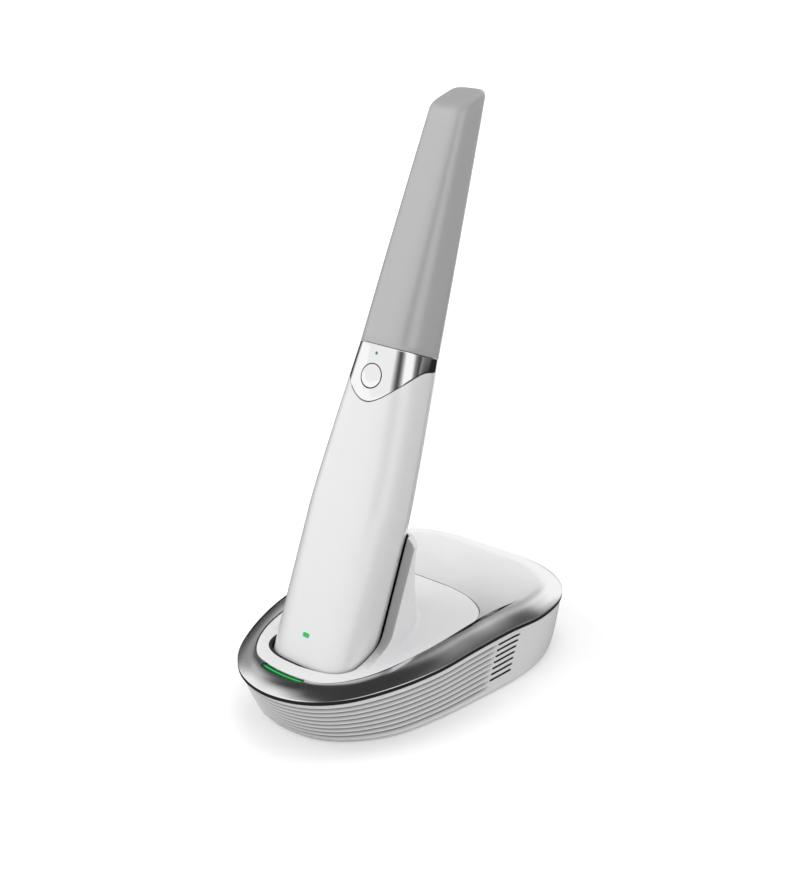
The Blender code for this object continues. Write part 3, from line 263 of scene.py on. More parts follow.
def arc_wall(radius, start, turn, levels):
    """An upright strip round the object, from one azimuth through an angle."""
    sheet = bmesh.new()
    foot = Vector((math.sin(start), -math.cos(start), 0.0)) * radius
    line = [sheet.verts.new(foot + Vector((0.0, 0.0, z))) for z in levels]
    edges = [sheet.edges.new(pair) for pair in zip(line, line[1:])]
    bmesh.ops.spin(
        sheet, geom=line + edges, cent=(0, 0, 0), axis=(0, 0, 1), angle=turn, steps=24,
        use_merge=False, use_duplicate=False,
    )
    return sheet


def attribute(tree, name):
    """A layer that is stored in the mesh."""
    node = tree.nodes.new("ShaderNodeAttribute")
    node.attribute_name = name
    return node.outputs["Fac"]


def add_card(name, radius, azimuths, rows, glow, most, steep=1.3):
    """A black or white card that only reflections show. It fades out at its edges.

    Each row is a height and how much of the card is left there.
    """
    start, end = (math.radians(azimuth) for azimuth in azimuths)
    material = plain_material(name, 0.01, 1.0)
    shader = material.node_tree.nodes["Principled BSDF"]
    shader.inputs["Emission Color"].default_value = WHITE
    shader.inputs["Emission Strength"].default_value = glow
    feed(material.node_tree, shader.inputs["Alpha"], attribute(material.node_tree, "cover"))
    strip = arc_wall(radius, start, end - start, [z for z, left in rows])
    card = add_stage(name, strip, material)
    layer = card.data.attributes.new("cover", "FLOAT", "POINT")
    for vertex, value in zip(card.data.vertices, layer.data):
        azimuth = math.atan2(vertex.co.x, -vertex.co.y)
        across = min(max((azimuth - start) / (end - start), 0.0), 1.0)
        left = min(rows, key=lambda row: abs(row[0] - vertex.co.z))[1]
        value.value = most * min(1.0, steep * math.sin(math.pi * across)) * left
    card.visible_camera = False
    card.visible_diffuse = False
    card.visible_shadow = False
    card.visible_transmission = False


add_card(
    "front_flag", 0.9, (5, 71), ((0.30, 1.0), (0.80, 1.0), (0.95, 0.0)), 0.0, 0.94, 1.0
)
add_card(
    "right_flag", 0.9, (104, 172), ((-0.05, 1.0), (0.95, 1.0), (1.25, 0.0)), 0.0, 0.85, 1.1
)
add_card(
    "left_flag", 0.9, (-142, -80),
    ((-0.05, 1.0), (0.10, 1.0), (0.30, 0.8), (0.60, 0.75), (0.95, 0.0)), 0.0, 0.92
)
add_card(
    "back_flag", 1.0, (-166, -104), ((0.60, 1.0), (1.60, 1.0), (1.90, 0.0)), 0.0, 0.92
)
add_card(
    "left_card", 1.2, (-101, 38),
    ((0.50, 1.0), (1.90, 1.0), (3.0, 0.42), (5.2, 0.0)), 0.88, 1.0
)


# Base housing: one moulded tray in light grey ABS. Ribs run round its nose and sides, each
# side has seven vent slots, and the power plug goes in at the back. The cover clips on its rim.
SKIN_INPUTS = (
    ("Colour", "Color", (0.8, 0.8, 0.8, 1.0)), ("Tone Change", "Float", 0.03),
    ("Roughness", "Float", 0.4), ("Handling", "Float", 0.08), ("Grain Scale", "Float", 2500.0),
    ("Stretch", "Vector", (1.0, 1.0, 1.0)), ("Edge Tone", "Float", 0.0),
    ("Crevice Tone", "Float", 0.0),
)
SLOW_SCALE = 22.0
SMUDGE_SCALE = 70.0
EDGE_BENDS = (0.51, 0.58)
HOLLOW_BENDS = (0.49, 0.42)


def noise_node(tree, place, scale, detail):
    node = tree.nodes.new("ShaderNodeTexNoise")
    for name, value in (("Vector", place), ("Scale", scale), ("Detail", detail)):
        feed(tree, node.inputs[name], value)
    return node.outputs["Fac"]


def make_skin_group():
    """The skin that all the pieces share: a fine grain, slow changes of tone, shine where it
    was handled, bright edges and painted shade in hollows. It gives a colour, a roughness and a
    height.
    """
    group = bpy.data.node_groups.new("skin", "ShaderNodeTree")
    for name, kind, value in SKIN_INPUTS:
        socket = group.interface.new_socket(
            name=name, in_out="INPUT", socket_type="NodeSocket" + kind
        )
        socket.default_value = value
    for name, kind in (("Colour", "Color"), ("Roughness", "Float"), ("Height", "Float")):
        group.interface.new_socket(
            name=name, in_out="OUTPUT", socket_type="NodeSocket" + kind
        )
    given = group.nodes.new("NodeGroupInput").outputs
    output = group.nodes.new("NodeGroupOutput").inputs
    place = group.nodes.new("ShaderNodeTexCoord").outputs["Object"]
    stretched = vector_node(group, "MULTIPLY", place, given["Stretch"])
    slow = math_node(group, "SUBTRACT", noise_node(group, place, SLOW_SCALE, 2.0), 0.5)
    smudge = math_node(group, "SUBTRACT", noise_node(group, place, SMUDGE_SCALE, 4.0), 0.5)
    fine = noise_node(group, stretched, given["Grain Scale"], 2.0)
    pointed = group.nodes.new("ShaderNodeNewGeometry").outputs["Pointiness"]
    edge = map_range(group, pointed, *EDGE_BENDS)
    hollow = map_range(group, pointed, *HOLLOW_BENDS)
    drift = math_node(group, "MULTIPLY", slow, given["Tone Change"])
    worn = math_node(group, "MULTIPLY", edge, given["Edge Tone"])
    # Painted shade: Crevice Tone darkens the hollows.
    hollow_shade = math_node(group, "MULTIPLY", hollow, given["Crevice Tone"])
    changed = math_node(group, "SUBTRACT", math_node(group, "ADD", drift, worn), hollow_shade)
    level = math_node(group, "ADD", changed, 1.0)
    rubbed = math_node(group, "MULTIPLY", smudge, given["Handling"])
    rough = math_node(group, "ADD", rubbed, given["Roughness"])
    group.links.new(vector_node(group, "SCALE", given["Colour"], level), output["Colour"])
    group.links.new(rough, output["Roughness"])
    group.links.new(fine, output["Height"])
    return group


SKIN = make_skin_group()


def make_finish(name, colour, roughness, metallic=0.0, tone=0.03, handling=0.08, edge=0.0,
                crevice=0.0, grain=2500.0, depth=0.01, stretch=(1.0, 1.0, 1.0)):
    """A surface with the shared skin. depth is the grain's height in millimetres."""
    material = bpy.data.materials.new(name)
    material.use_nodes = True
    tree = material.node_tree
    shader = tree.nodes["Principled BSDF"]
    shader.inputs["Metallic"].default_value = metallic
    skin = tree.nodes.new("ShaderNodeGroup")
    skin.node_tree = SKIN
    for label, value in (
        ("Colour", (*colour, 1.0)), ("Tone Change", tone), ("Roughness", roughness),
        ("Handling", handling), ("Grain Scale", grain), ("Stretch", stretch),
        ("Edge Tone", edge), ("Crevice Tone", crevice),
    ):
        skin.inputs[label].default_value = value
    bump = tree.nodes.new("ShaderNodeBump")
    bump.inputs["Strength"].default_value = 1.0
    bump.inputs["Distance"].default_value = depth * MM
    tree.links.new(skin.outputs["Colour"], shader.inputs["Base Color"])
    tree.links.new(skin.outputs["Roughness"], shader.inputs["Roughness"])
    tree.links.new(skin.outputs["Height"], bump.inputs["Height"])
    tree.links.new(bump.outputs["Normal"], shader.inputs["Normal"])
    return material


def shader_of(material):
    return material.node_tree.nodes["Principled BSDF"]


def add_mask(material, share, colour, roughness, metallic=0.0):
    """Another finish where a mask is 1."""
    tree = material.node_tree
    changes = (("Base Color", (*colour, 1.0)), ("Roughness", roughness), ("Metallic", metallic))
    for name, target in changes:
        socket = shader_of(material).inputs[name]
        before = socket.links[0].from_socket if socket.is_linked else socket.default_value
        kind = "RGBA" if name == "Base Color" else "FLOAT"
        tree.links.new(mix_node(tree, kind, share, before, target), socket)


def add_tint(material, layer, colour, roughness, metallic=0.0):
    """Another finish on the same piece, where a layer of the mesh is 1."""
    share = attribute(material.node_tree, layer)
    add_mask(material, share, colour, roughness, metallic)


def mark_faces(piece, name, share):
    """Stores a layer that holds a share for each face."""
    layer = piece.data.attributes.new(name, "FLOAT", "FACE")
    for face, value in zip(piece.data.polygons, layer.data):
        value.value = share(face)


OUTLINE_STEPS = 10
COVER_OUTLINE = (
    (0.0, 0.0), (0.302, 0.026), (0.543, 0.099), (0.716, 0.216), (0.828, 0.351), (0.879, 0.5),
    (0.931, 0.632), (1.0, 0.749), (0.957, 0.865), (0.784, 0.947), (0.474, 0.994), (0.0, 1.0),
)
FOOT_OUTLINE = (
    (0.0, 0.0), (0.267, 0.016), (0.491, 0.069), (0.698, 0.168), (0.828, 0.306), (0.922, 0.474),
    (0.99, 0.632), (0.985, 0.757), (0.9, 0.858), (0.73, 0.932), (0.45, 0.984), (0.0, 1.0),
)
PLATE_LIP = 3.3 * MM
HOUSING_WALL = 2.4 * MM
HOUSING_TUCK = 0.5 * MM
RIM_INSET = 1.9 * MM
RIM_WIDTH = 2.0 * MM
JOINT_GAP = 0.3 * MM
SKIRT_HEIGHT = 1.8 * MM
NOSE_RISE = 0.9
TAIL_RISE = 0.4
RIB_COUNT = 8
RIB_PITCH = 2.5 * MM
TOP_RIB_Z = 21.4 * MM
RIB_DEPTH = 1.1 * MM
GROOVE_SHADE = 0.10
GROOVE_CURVE = 1.4
RIB_FADE_Y = 14.0 * MM
RIB_FADE = 4.0 * MM
VENT_COUNT = 7
VENT_SHIFT = 1.27 * MM
VENT_WALL = 1.1 * MM
VENT_LENGTH = 14.3 * MM
VENT_HEIGHT = 1.0 * MM
FOOT_ROUND = 0.7 * MM
SHELF_INSET = 3.0 * MM
SHELF_REACH = 9.0 * MM
SHELF_HEIGHT = 2.2 * MM
SHELF_RAISE = 2.7 * MM
LEDGE_DROP = JOINT_GAP * 1.7
PLUG_DEPTH = 16.0 * MM
VENT_BAR_REACH = HOUSING_WALL * 2.2
CREASE_ANGLE = math.radians(32)
PLUG_RADIUS = 4.2 * MM
PLUG_Z = 13.0 * MM
MERGE = 0.001 * MM

cover_low, cover_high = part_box("top_cover")
plate_low, plate_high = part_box("bottom_plate")
base_low, base_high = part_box("base_body")
TOP_Z = cover_high.z
SKIRT_Z = cover_low.z
EDGE_Z = SKIRT_Z + SKIRT_HEIGHT
FOOT_Z = base_low.z
NOSE_Y = cover_low.y


def smooth_outline(half, low, high):
    """A closed smooth outline through half a shape and its mirror image, fitted to a box."""
    points = [Vector(p) for p in list(half) + [(-x, y) for x, y in half[-2:0:-1]]]
    ring = []
    for i in range(len(points)):
        before, start, end, after = (points[(i + k) % len(points)] for k in (-1, 0, 1, 2))
        for step in range(OUTLINE_STEPS):
            t = step / OUTLINE_STEPS
            bend = (end - before) * t + (2 * before - 5 * start + 4 * end - after) * t * t
            twist = (3 * start - before - 3 * end + after) * t ** 3
            ring.append(start + (bend + twist) / 2)
    wide = max(point.x for point in ring)
    first = min(point.y for point in ring)
    last = max(point.y for point in ring)
    return [
        Vector((p.x / wide * high.x, low.y + (p.y - first) / (last - first) * (high.y - low.y)))
        for p in ring
    ]


def moved_in(ring, distance):
    """The outline moved inwards, by one distance or by one for each point."""
    moved = []
    for i, point in enumerate(ring):
        along = (ring[(i + 1) % len(ring)] - ring[i - 1]).normalized()
        step = distance[i] if isinstance(distance, list) else distance
        moved.append(point + Vector((-along.y, along.x)) * step)
    return moved


def at_height(ring, z):
    return [Vector((point.x, point.y, z)) for point in ring]


def rolled(rows, closed=False):
    """A sheet rolled into a tube whose rows lie on these outlines. A closed one meets itself."""
    if closed:
        rows = rows + rows[:1]
    columns = len(rows[0])
    last = len(rows) - 1
    sheet = bmesh.new()
    bmesh.ops.create_grid(sheet, x_segments=columns, y_segments=last, size=1.0)
    for vertex in sheet.verts:
        column = round((vertex.co.x + 1) / 2 * columns) % columns
        row = round((vertex.co.y + 1) / 2 * last)
        vertex.co = rows[row][column]
    bmesh.ops.remove_doubles(sheet, verts=sheet.verts[:], dist=MERGE)
    bmesh.ops.recalc_face_normals(sheet, faces=sheet.faces[:])
    return sheet


def crisp(mesh):
    """Smooth shading with creases at the real edges."""
    mesh.shade_smooth()
    mesh.set_sharp_from_angle(angle=CREASE_ANGLE)


def add_piece(name, sheet, material, body, nodes):
    mesh = bpy.data.meshes.new(name)
    sheet.to_mesh(mesh)
    sheet.free()
    mesh.materials.append(material)
    crisp(mesh)
    piece = bpy.data.objects.new(name, mesh)
    scene.collection.objects.link(piece)
    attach(piece, body)
    if nodes:
        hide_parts(*nodes)
    return piece


def settle(piece):
    """Applies a piece's modifiers to its mesh."""
    graph = bpy.context.evaluated_depsgraph_get()
    done = bpy.data.meshes.new_from_object(piece.evaluated_get(graph))
    piece.modifiers.clear()
    piece.data = done
    crisp(done)


def carve(piece, sheet, operation="DIFFERENCE"):
    """Cuts a shape out of a piece, or joins it on."""
    mesh = bpy.data.meshes.new("tool")
    sheet.to_mesh(mesh)
    sheet.free()
    tool = bpy.data.objects.new("tool", mesh)
    scene.collection.objects.link(tool)
    cut = piece.modifiers.new("carve", "BOOLEAN")
    cut.operation = operation
    cut.solver = "EXACT"
    cut.object = tool
    settle(piece)
    bpy.data.objects.remove(tool)


def box_sheet(low, high):
    sheet = bmesh.new()
    middle = (Vector(low) + Vector(high)) / 2
    size = Vector(high) - Vector(low)
    bmesh.ops.create_cube(sheet, size=1.0, matrix=Matrix.LocRotScale(middle, None, size))
    return sheet


def rod_sheet(radius, start, end, segments=32):
    """A round rod between two points."""
    sheet = bmesh.new()
    axis = Vector(end) - Vector(start)
    turn = axis.to_track_quat("Z", "Y")
    place = Matrix.LocRotScale((Vector(start) + Vector(end)) / 2, turn, None)
    bmesh.ops.create_cone(
        sheet, cap_ends=True, segments=segments, radius1=radius, radius2=radius,
        depth=axis.length, matrix=place,
    )
    return sheet


COVER_RING = smooth_outline(COVER_OUTLINE, cover_low, cover_high)
lip = Vector((PLATE_LIP, PLATE_LIP, 0.0))
FOOT_RING = smooth_outline(FOOT_OUTLINE, plate_low - lip, plate_high + lip)


def wall_outline(z, depth=0.0):
    """The housing's wall at a height. It rakes out at the nose and stands fuller at the tail."""
    rise = (z - FOOT_Z) / (SKIRT_Z - FOOT_Z)
    ring = []
    for low, high in zip(FOOT_RING, moved_in(COVER_RING, HOUSING_TUCK)):
        along = (high.y - NOSE_Y) / (cover_high.y - NOSE_Y)
        ring.append(low.lerp(high, rise ** (NOSE_RISE + (TAIL_RISE - NOSE_RISE) * along)))
    return moved_in(ring, depth) if depth else ring


def vent_start(z):
    """Where the vent slots start at a height. The lower ones start nearer the nose."""
    return RIB_FADE_Y - VENT_SHIFT * (TOP_RIB_Z - z) / RIB_PITCH


def inner_wall(z):
    """The wall's inner face. The wall thins out behind the vents."""
    ring = wall_outline(z)
    depths = []
    for point in ring:
        share = min(max((point.y - vent_start(z) + RIB_FADE) / RIB_FADE, 0.0), 1.0)
        depths.append(HOUSING_WALL + (VENT_WALL - HOUSING_WALL) * share)
    return moved_in(ring, depths)


def rib_fade(y, z):
    return min(max((vent_start(z) - y) / RIB_FADE, 0.0), 1.0)


def ribbed_outline(z, share):
    """The wall at a height, cut in by a share of the ribs' depth where they run."""
    ring = wall_outline(z)
    return moved_in(ring, [RIB_DEPTH * share * rib_fade(point.y, z) for point in ring])


# Each rib's section from its top down: height above its line, and share of its depth
RIB_SECTION = (
    (0.75, 0.0), (0.55, 0.12), (0.22, 0.9), (0.0, 1.0), (-0.22, 0.92), (-0.9, 0.45),
    (-1.55, 0.08),
)


def make_housing():
    rim_z = base_high.z
    ledge_z = SKIRT_Z - LEDGE_DROP
    rows = [
        at_height(moved_in(COVER_RING, RIM_INSET), rim_z),
        at_height(moved_in(COVER_RING, RIM_INSET), ledge_z),
        at_height(wall_outline(ledge_z, 0.3 * MM), ledge_z),
        at_height(wall_outline(ledge_z - 0.1 * MM, 0.08 * MM), ledge_z - 0.1 * MM),
        at_height(wall_outline(ledge_z - 0.35 * MM), ledge_z - 0.35 * MM),
    ]
    for number in range(RIB_COUNT):
        line_z = TOP_RIB_Z - number * RIB_PITCH
        for up, share in RIB_SECTION:
            z = line_z + up * MM
            rows.append(at_height(ribbed_outline(z, share), z))
    for step in range(5):
        turn = math.pi / 2 * step / 4
        z = FOOT_Z + FOOT_ROUND * (1 - math.sin(turn))
        rows.append(at_height(moved_in(wall_outline(z), FOOT_ROUND * (1 - math.cos(turn))), z))
    shelf_top = plate_low.z + SHELF_HEIGHT + SHELF_RAISE
    shelf_foot = shelf_top - SHELF_HEIGHT
    for inset, z in (
        (SHELF_INSET, FOOT_Z), (SHELF_INSET, shelf_foot), (SHELF_REACH, shelf_foot),
        (SHELF_REACH, shelf_top),
    ):
        rows.append(at_height(moved_in(FOOT_RING, inset), z))
    for share in (0.0, 0.5, 1.0):
        z = shelf_top + (ledge_z - shelf_top) * share
        rows.append(at_height(inner_wall(z), z))
    rows.append(at_height(moved_in(COVER_RING, RIM_INSET + RIM_WIDTH), rim_z))
    return rolled(rows, closed=True)


# The housing carries painted shade: crevice darkens its hollows, the groove layer paints shade into
# the grooves, and the slot layer paints shade onto the slots' cut faces.
HOUSING_GREY = make_finish(
    "housing_grey", (0.74, 0.74, 0.75), 0.42, tone=0.03, handling=0.10, edge=0.10,
    crevice=0.3, grain=2200.0, depth=0.006
)
add_tint(HOUSING_GREY, "groove", (GROOVE_SHADE, GROOVE_SHADE, GROOVE_SHADE), 0.6)
add_tint(HOUSING_GREY, "slot", (0.04, 0.04, 0.04), 0.7)
housing = add_piece(
    "base_housing", make_housing(), HOUSING_GREY, "dock_and_handle", ["base_body"]
)


def cut_vents():
    """All the slots as one set of bars."""
    bars = bmesh.new()
    for number in range(VENT_COUNT):
        z = TOP_RIB_Z - number * RIB_PITCH
        start = vent_start(z)
        side = max(point.x for point in wall_outline(z) if point.y < start)
        inner = side - VENT_BAR_REACH
        outer = cover_high.x + JOINT_GAP
        for sign in (-1, 1):
            middle = (sign * (inner + outer) / 2, start + VENT_LENGTH / 2, z)
            size = (outer - inner, VENT_LENGTH, VENT_HEIGHT)
            bmesh.ops.create_cube(bars, size=1.0, matrix=Matrix.LocRotScale(middle, None, size))
    return bars


carve(housing, cut_vents())
plug_start = (0.0, cover_high.y - PLUG_DEPTH, PLUG_Z)
carve(housing, rod_sheet(PLUG_RADIUS, plug_start, (0.0, cover_high.y, PLUG_Z), 48))


def groove_share(z):
    """The share of the ribs' depth at a height."""
    number = min(max(round((TOP_RIB_Z - z) / RIB_PITCH), 0), RIB_COUNT - 1)
    up = (z - TOP_RIB_Z + number * RIB_PITCH) / MM
    for (high, first), (low, last) in zip(RIB_SECTION, RIB_SECTION[1:]):
        if low <= up <= high:
            return first + (last - first) * (high - up) / (high - low)
    return 0.0


def mark_housing():
    """Painted shade in the grooves, and painted shade on the slots' cut faces."""
    layer = housing.data.attributes.new("groove", "FLOAT", "POINT")
    for vertex, value in zip(housing.data.vertices, layer.data):
        depth = groove_share(vertex.co.z) ** GROOVE_CURVE
        value.value = depth * rib_fade(vertex.co.y, vertex.co.z)
    last_line = TOP_RIB_Z - VENT_COUNT * RIB_PITCH
    mark_faces(housing, "slot", lambda face: float(
        abs(face.normal.z) > 0.95 and last_line < face.center.z < TOP_RIB_Z + VENT_HEIGHT
        and face.center.y > vent_start(face.center.z) and abs(face.center.x) > cover_high.x / 2
    ))


mark_housing()


# Underside: a black plate screwed into the housing, and four rubber feet glued in its recesses.
# The small parts inside the dock are a board with its power socket.
BLACK_PLASTIC = make_finish(
    "black_plastic", (0.025, 0.025, 0.027), 0.5, tone=0.2, edge=0.4, grain=1800.0, depth=0.02
)
RUBBER = make_finish(
    "rubber", (0.035, 0.035, 0.036), 0.82, tone=0.25, handling=0.2, edge=0.5, grain=1300.0,
    depth=0.04
)
STEEL = make_finish(
    "steel", (0.58, 0.58, 0.60), 0.3, metallic=1.0, tone=0.1, handling=0.2, edge=0.3,
    grain=900.0, depth=0.006, stretch=(1.0, 1.0, 8.0)
)


def dress(node, material):
    for slot in frame["nodes"][node].material_slots:
        slot.material = material


def spun(profile, place, segments=48):
    """A turned piece. The profile gives radius and height, from the axis round to the axis."""
    sheet = bmesh.new()
    line = [sheet.verts.new((radius, 0.0, height)) for radius, height in profile]
    edges = [sheet.edges.new(pair) for pair in zip(line, line[1:])]
    bmesh.ops.spin(
        sheet, geom=line + edges, cent=(0, 0, 0), axis=(0, 0, 1), angle=2 * math.pi,
        steps=segments, use_merge=True, use_duplicate=False,
    )
    bmesh.ops.remove_doubles(sheet, verts=sheet.verts[:], dist=MERGE)
    bmesh.ops.recalc_face_normals(sheet, faces=sheet.faces[:])
    bmesh.ops.transform(sheet, matrix=place, verts=sheet.verts[:])
    return sheet


def make_foot_pad(number):
    """A turned pad with two grip rings moulded in its face."""
    name = f"rubber_foot_{number}"
    low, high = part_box(name)
    radius = (high.x - low.x) / 2
    height = high.z - low.z
    ring = 0.35 * MM
    profile = [
        (0.0, 0.0), (radius * 0.38, 0.0), (radius * 0.42, ring), (radius * 0.5, ring),
        (radius * 0.54, 0.0), (radius * 0.7, 0.0), (radius * 0.74, ring), (radius * 0.82, ring),
        (radius * 0.86, 0.0), (radius - 0.4 * MM, 0.0), (radius, 0.4 * MM), (radius, height),
        (0.0, height),
    ]
    middle = Matrix.Translation(((low.x + high.x) / 2, (low.y + high.y) / 2, low.z))
    add_piece(
        f"foot_pad_{number}", spun(profile, middle), RUBBER, "dock_and_handle", [name]
    )


def make_plate_screw(number):
    """A pan-head screw with a cross recess, seen from below."""
    name = f"base_screw_{number}"
    low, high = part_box(name)
    head = (high.x - low.x) / 2
    shank = head * 0.52
    neck = 1.2 * MM
    reach = high.z - low.z
    profile = [
        (0.0, 0.0), (head * 0.8, 0.0), (head * 0.95, 0.15 * MM), (head, 0.4 * MM), (head, neck),
        (shank, neck), (shank, reach), (0.0, reach),
    ]
    spot = Vector(((low.x + high.x) / 2, (low.y + high.y) / 2, low.z))
    sheet = spun(profile, Matrix.Translation(spot), 32)
    screw = add_piece(f"plate_screw_{number}", sheet, STEEL, "dock_and_handle", [name])
    arm = Vector((head * 0.6, head * 0.14, 0.6 * MM))
    for half in (arm, Vector((arm.y, arm.x, arm.z))):
        carve(screw, box_sheet(spot - half, spot + half))


for number in range(1, 5):
    make_foot_pad(number)
    make_plate_screw(number)
for node in ("bottom_plate", "power_socket", "pin_block"):
    dress(node, BLACK_PLASTIC)


MASK_GREEN = (0.012, 0.13, 0.05)
MASK_LIGHT_GREEN = (0.015, 0.16, 0.06, 1.0)
TRACK_GREEN = (0.05, 0.30, 0.12, 1.0)
TIN = (0.62, 0.60, 0.54, 1.0)


def make_board_finish():
    """Green solder mask over copper tracks on a square grid, with tinned pads."""
    material = make_finish("circuit_board", MASK_GREEN, 0.35, tone=0.3, grain=600.0, depth=0.01)
    tree = material.node_tree
    place = tree.nodes.new("ShaderNodeTexCoord").outputs["Object"]
    tracks = tree.nodes.new("ShaderNodeTexBrick")
    for name, value in (
        ("Scale", 160.0), ("Mortar Size", 0.03), ("Color1", (*MASK_GREEN, 1.0)),
        ("Color2", MASK_LIGHT_GREEN), ("Mortar", TRACK_GREEN), ("Vector", place),
    ):
        feed(tree, tracks.inputs[name], value)
    pads = tree.nodes.new("ShaderNodeTexVoronoi")
    pads.inputs["Scale"].default_value = 260.0
    tree.links.new(place, pads.inputs["Vector"])
    tinned = math_node(tree, "LESS_THAN", pads.outputs["Distance"], 0.16)
    mixed = mix_node(tree, "RGBA", tinned, tracks.outputs["Color"], TIN)
    tree.links.new(mixed, shader_of(material).inputs["Base Color"])
    tree.links.new(tinned, shader_of(material).inputs["Metallic"])
    return material


CIRCUIT_BOARD = make_board_finish()
dress("dock_board", CIRCUIT_BOARD)


# Top cover: a moulded lid with a bright silver plating. Its rim rolls down to a skirt that
# hides the joint with the housing; the skirt carries a painted dark reflection.
# The inlay sits in its opening.
ROLL_REACH = 5.0 * MM
ROLL_MOST = 13.0 * MM
ROLL_FILL = 0.97
ROLL_STEPS = 14
ROLL_START = 0.02
ROLL_SPACING = 1.5
COVER_WALL = 1.8 * MM
SKIRT_WALL = 1.6 * MM
CREASE = 0.18 * MM
INLAY_OUTLINE = (
    (0.0, 0.0), (0.28, 0.01), (0.488, 0.038), (0.68, 0.127), (0.82, 0.26), (0.895, 0.43),
    (0.95, 0.6), (1.0, 0.764), (0.9, 0.89), (0.63, 0.968), (0.33, 0.997), (0.0, 1.0),
)
INLAY_FLANGE = 2.0 * MM
LIGHT_LENGTH = 23.6 * MM
LIGHT_WIDTH = 3.9 * MM

inlay_low, inlay_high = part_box("cradle_inlay")
flange = Vector((INLAY_FLANGE, INLAY_FLANGE, 0.0))
INLAY_RING = smooth_outline(INLAY_OUTLINE, inlay_low + flange, inlay_high - flange)


def roll_ring(widths, share, inset, lower=0.0):
    """A row of the roll. Its slope at the rim is the same all round, whatever its width."""
    ring = moved_in(COVER_RING, inset)
    drop = TOP_Z - EDGE_Z
    return [
        Vector((point.x, point.y, TOP_Z - lower - drop * (1 - share) ** (width / ROLL_REACH)))
        for point, width in zip(ring, widths)
    ]


def roll_width(edge):
    """The roll fills the strip round the inlay where that is narrow."""
    return min(min((edge - point).length for point in INLAY_RING) * ROLL_FILL, ROLL_MOST)


def make_cover():
    widths = [roll_width(edge) for edge in COVER_RING]
    rows = [at_height(COVER_RING, SKIRT_Z), at_height(COVER_RING, EDGE_Z - CREASE * 0.6)]
    for step in range(ROLL_STEPS + 1):
        share = ROLL_START + (1 - ROLL_START) * (step / ROLL_STEPS) ** ROLL_SPACING
        rows.append(roll_ring(widths, share, [width * share for width in widths]))
    inner = rows[-1]
    for step in (0.35, 0.7):
        rows.append([a.lerp(Vector((b.x, b.y, TOP_Z)), step) for a, b in zip(inner, INLAY_RING)])
    rows.append(at_height(moved_in(INLAY_RING, -CREASE), TOP_Z))
    rows.append(at_height(INLAY_RING, TOP_Z - CREASE))
    rows.append(at_height(INLAY_RING, TOP_Z - COVER_WALL))
    for share in (1.0, 0.75, 0.5, 0.22):
        inset = [max(width * share, SKIRT_WALL) for width in widths]
        rows.append(roll_ring(widths, share, inset, COVER_WALL))
    rows.append(at_height(moved_in(COVER_RING, SKIRT_WALL), EDGE_Z - COVER_WALL + JOINT_GAP * 5))
    rows.append(at_height(moved_in(COVER_RING, SKIRT_WALL), SKIRT_Z))
    return rolled(rows, closed=True)


SILVER = make_finish(
    "silver_cover", (0.90, 0.90, 0.91), 0.17, metallic=1.0, tone=0.02, handling=0.05,
    grain=3500.0, depth=0.0015
)
# Near-black where the layer is 1: painted dark reflection and painted shade, set below.
add_tint(SILVER, "bare_and_painted_dark", (0.02, 0.02, 0.021), 0.4)
cover = add_piece(
    "dock_cover", make_cover(), SILVER, "dock_and_handle", ["top_cover"]
)


# Charging light: a green lens bar let into the cover along the inlay's nose. A line glows
# along its middle, and its edges and round ends lie in shade.
LIGHT_SINK = 0.3 * MM
LIGHT_SLOPE = 0.06
LIGHT_THICKNESS = 1.2 * MM
LIGHT_STEPS = 40
LIGHT_FADE = 2.5 * MM
LIGHT_OFF = (0.0, 0.025, 0.007, 1.0)


def nose_point(x):
    """Where the inlay's nose lies at a place across the dock."""
    near = [point for point in INLAY_RING if point.y < 0 and abs(point.x) < LIGHT_LENGTH]
    front = sorted(near, key=lambda point: point.x)
    for left, right in zip(front, front[1:]):
        if left.x <= x <= right.x:
            return left.y + (right.y - left.y) * (x - left.x) / (right.x - left.x)
    return front[0].y


def bar_sheet(grow, inner, outer, top):
    """A strip along the inlay's nose with round ends, between two distances outside it."""
    half = LIGHT_LENGTH / 2 + grow
    width = outer - inner
    rows = []
    for step in range(LIGHT_STEPS + 1):
        share = step / LIGHT_STEPS
        x = -half + 2 * half * (0.5 - 0.5 * math.cos(math.pi * share))
        reach = min(half - abs(x), width / 2) / (width / 2)
        swell = math.sqrt(max(1 - (1 - reach) ** 2, 0.0))
        middle = nose_point(x) - (inner + outer) / 2
        near = middle + width / 2 * swell
        far = middle - width / 2 * swell
        fall = LIGHT_SLOPE * (outer - inner)
        low = TOP_Z - LIGHT_THICKNESS
        corners = ((x, near, low), (x, far, low), (x, far, top - fall), (x, near, top))
        rows.append([Vector(corner) for corner in corners])
    return rolled(rows)


carve(cover, bar_sheet(0.0, -JOINT_GAP / 3, LIGHT_WIDTH, TOP_Z + 1 * MM))
# Faces steeper than 60 degrees turn near-black: a painted dark reflection on the skirt, painted
# shade in the light bar's recess, and bare plastic on the undersides.
mark_faces(cover, "bare_and_painted_dark", lambda face: float(face.normal.z < 0.5))


def make_glow_finish():
    """Green lens plastic. The glow is a line that follows the bar, held in the mesh as a layer."""
    material = make_finish(
        "green_light", (0.004, 0.05, 0.015), 0.35, tone=0.2, grain=900.0, depth=0.01
    )
    tree = material.node_tree
    line = tree.nodes.new("ShaderNodeValToRGB")
    start, end = line.color_ramp.elements
    start.position, start.color = 0.33, LIGHT_OFF
    end.position, end.color = 0.43, (0.035, 0.72, 0.15, 1.0)
    for position, colour in ((0.49, (0.03, 0.62, 0.12, 1.0)), (0.60, LIGHT_OFF)):
        line.color_ramp.elements.new(position).color = colour
    tree.links.new(attribute(tree, "across"), line.inputs["Fac"])
    glow = shader_of(material).inputs
    tree.links.new(line.outputs["Color"], glow["Emission Color"])
    tree.links.new(attribute(tree, "lit"), glow["Emission Strength"])
    return material


GREEN_LIGHT = make_glow_finish()


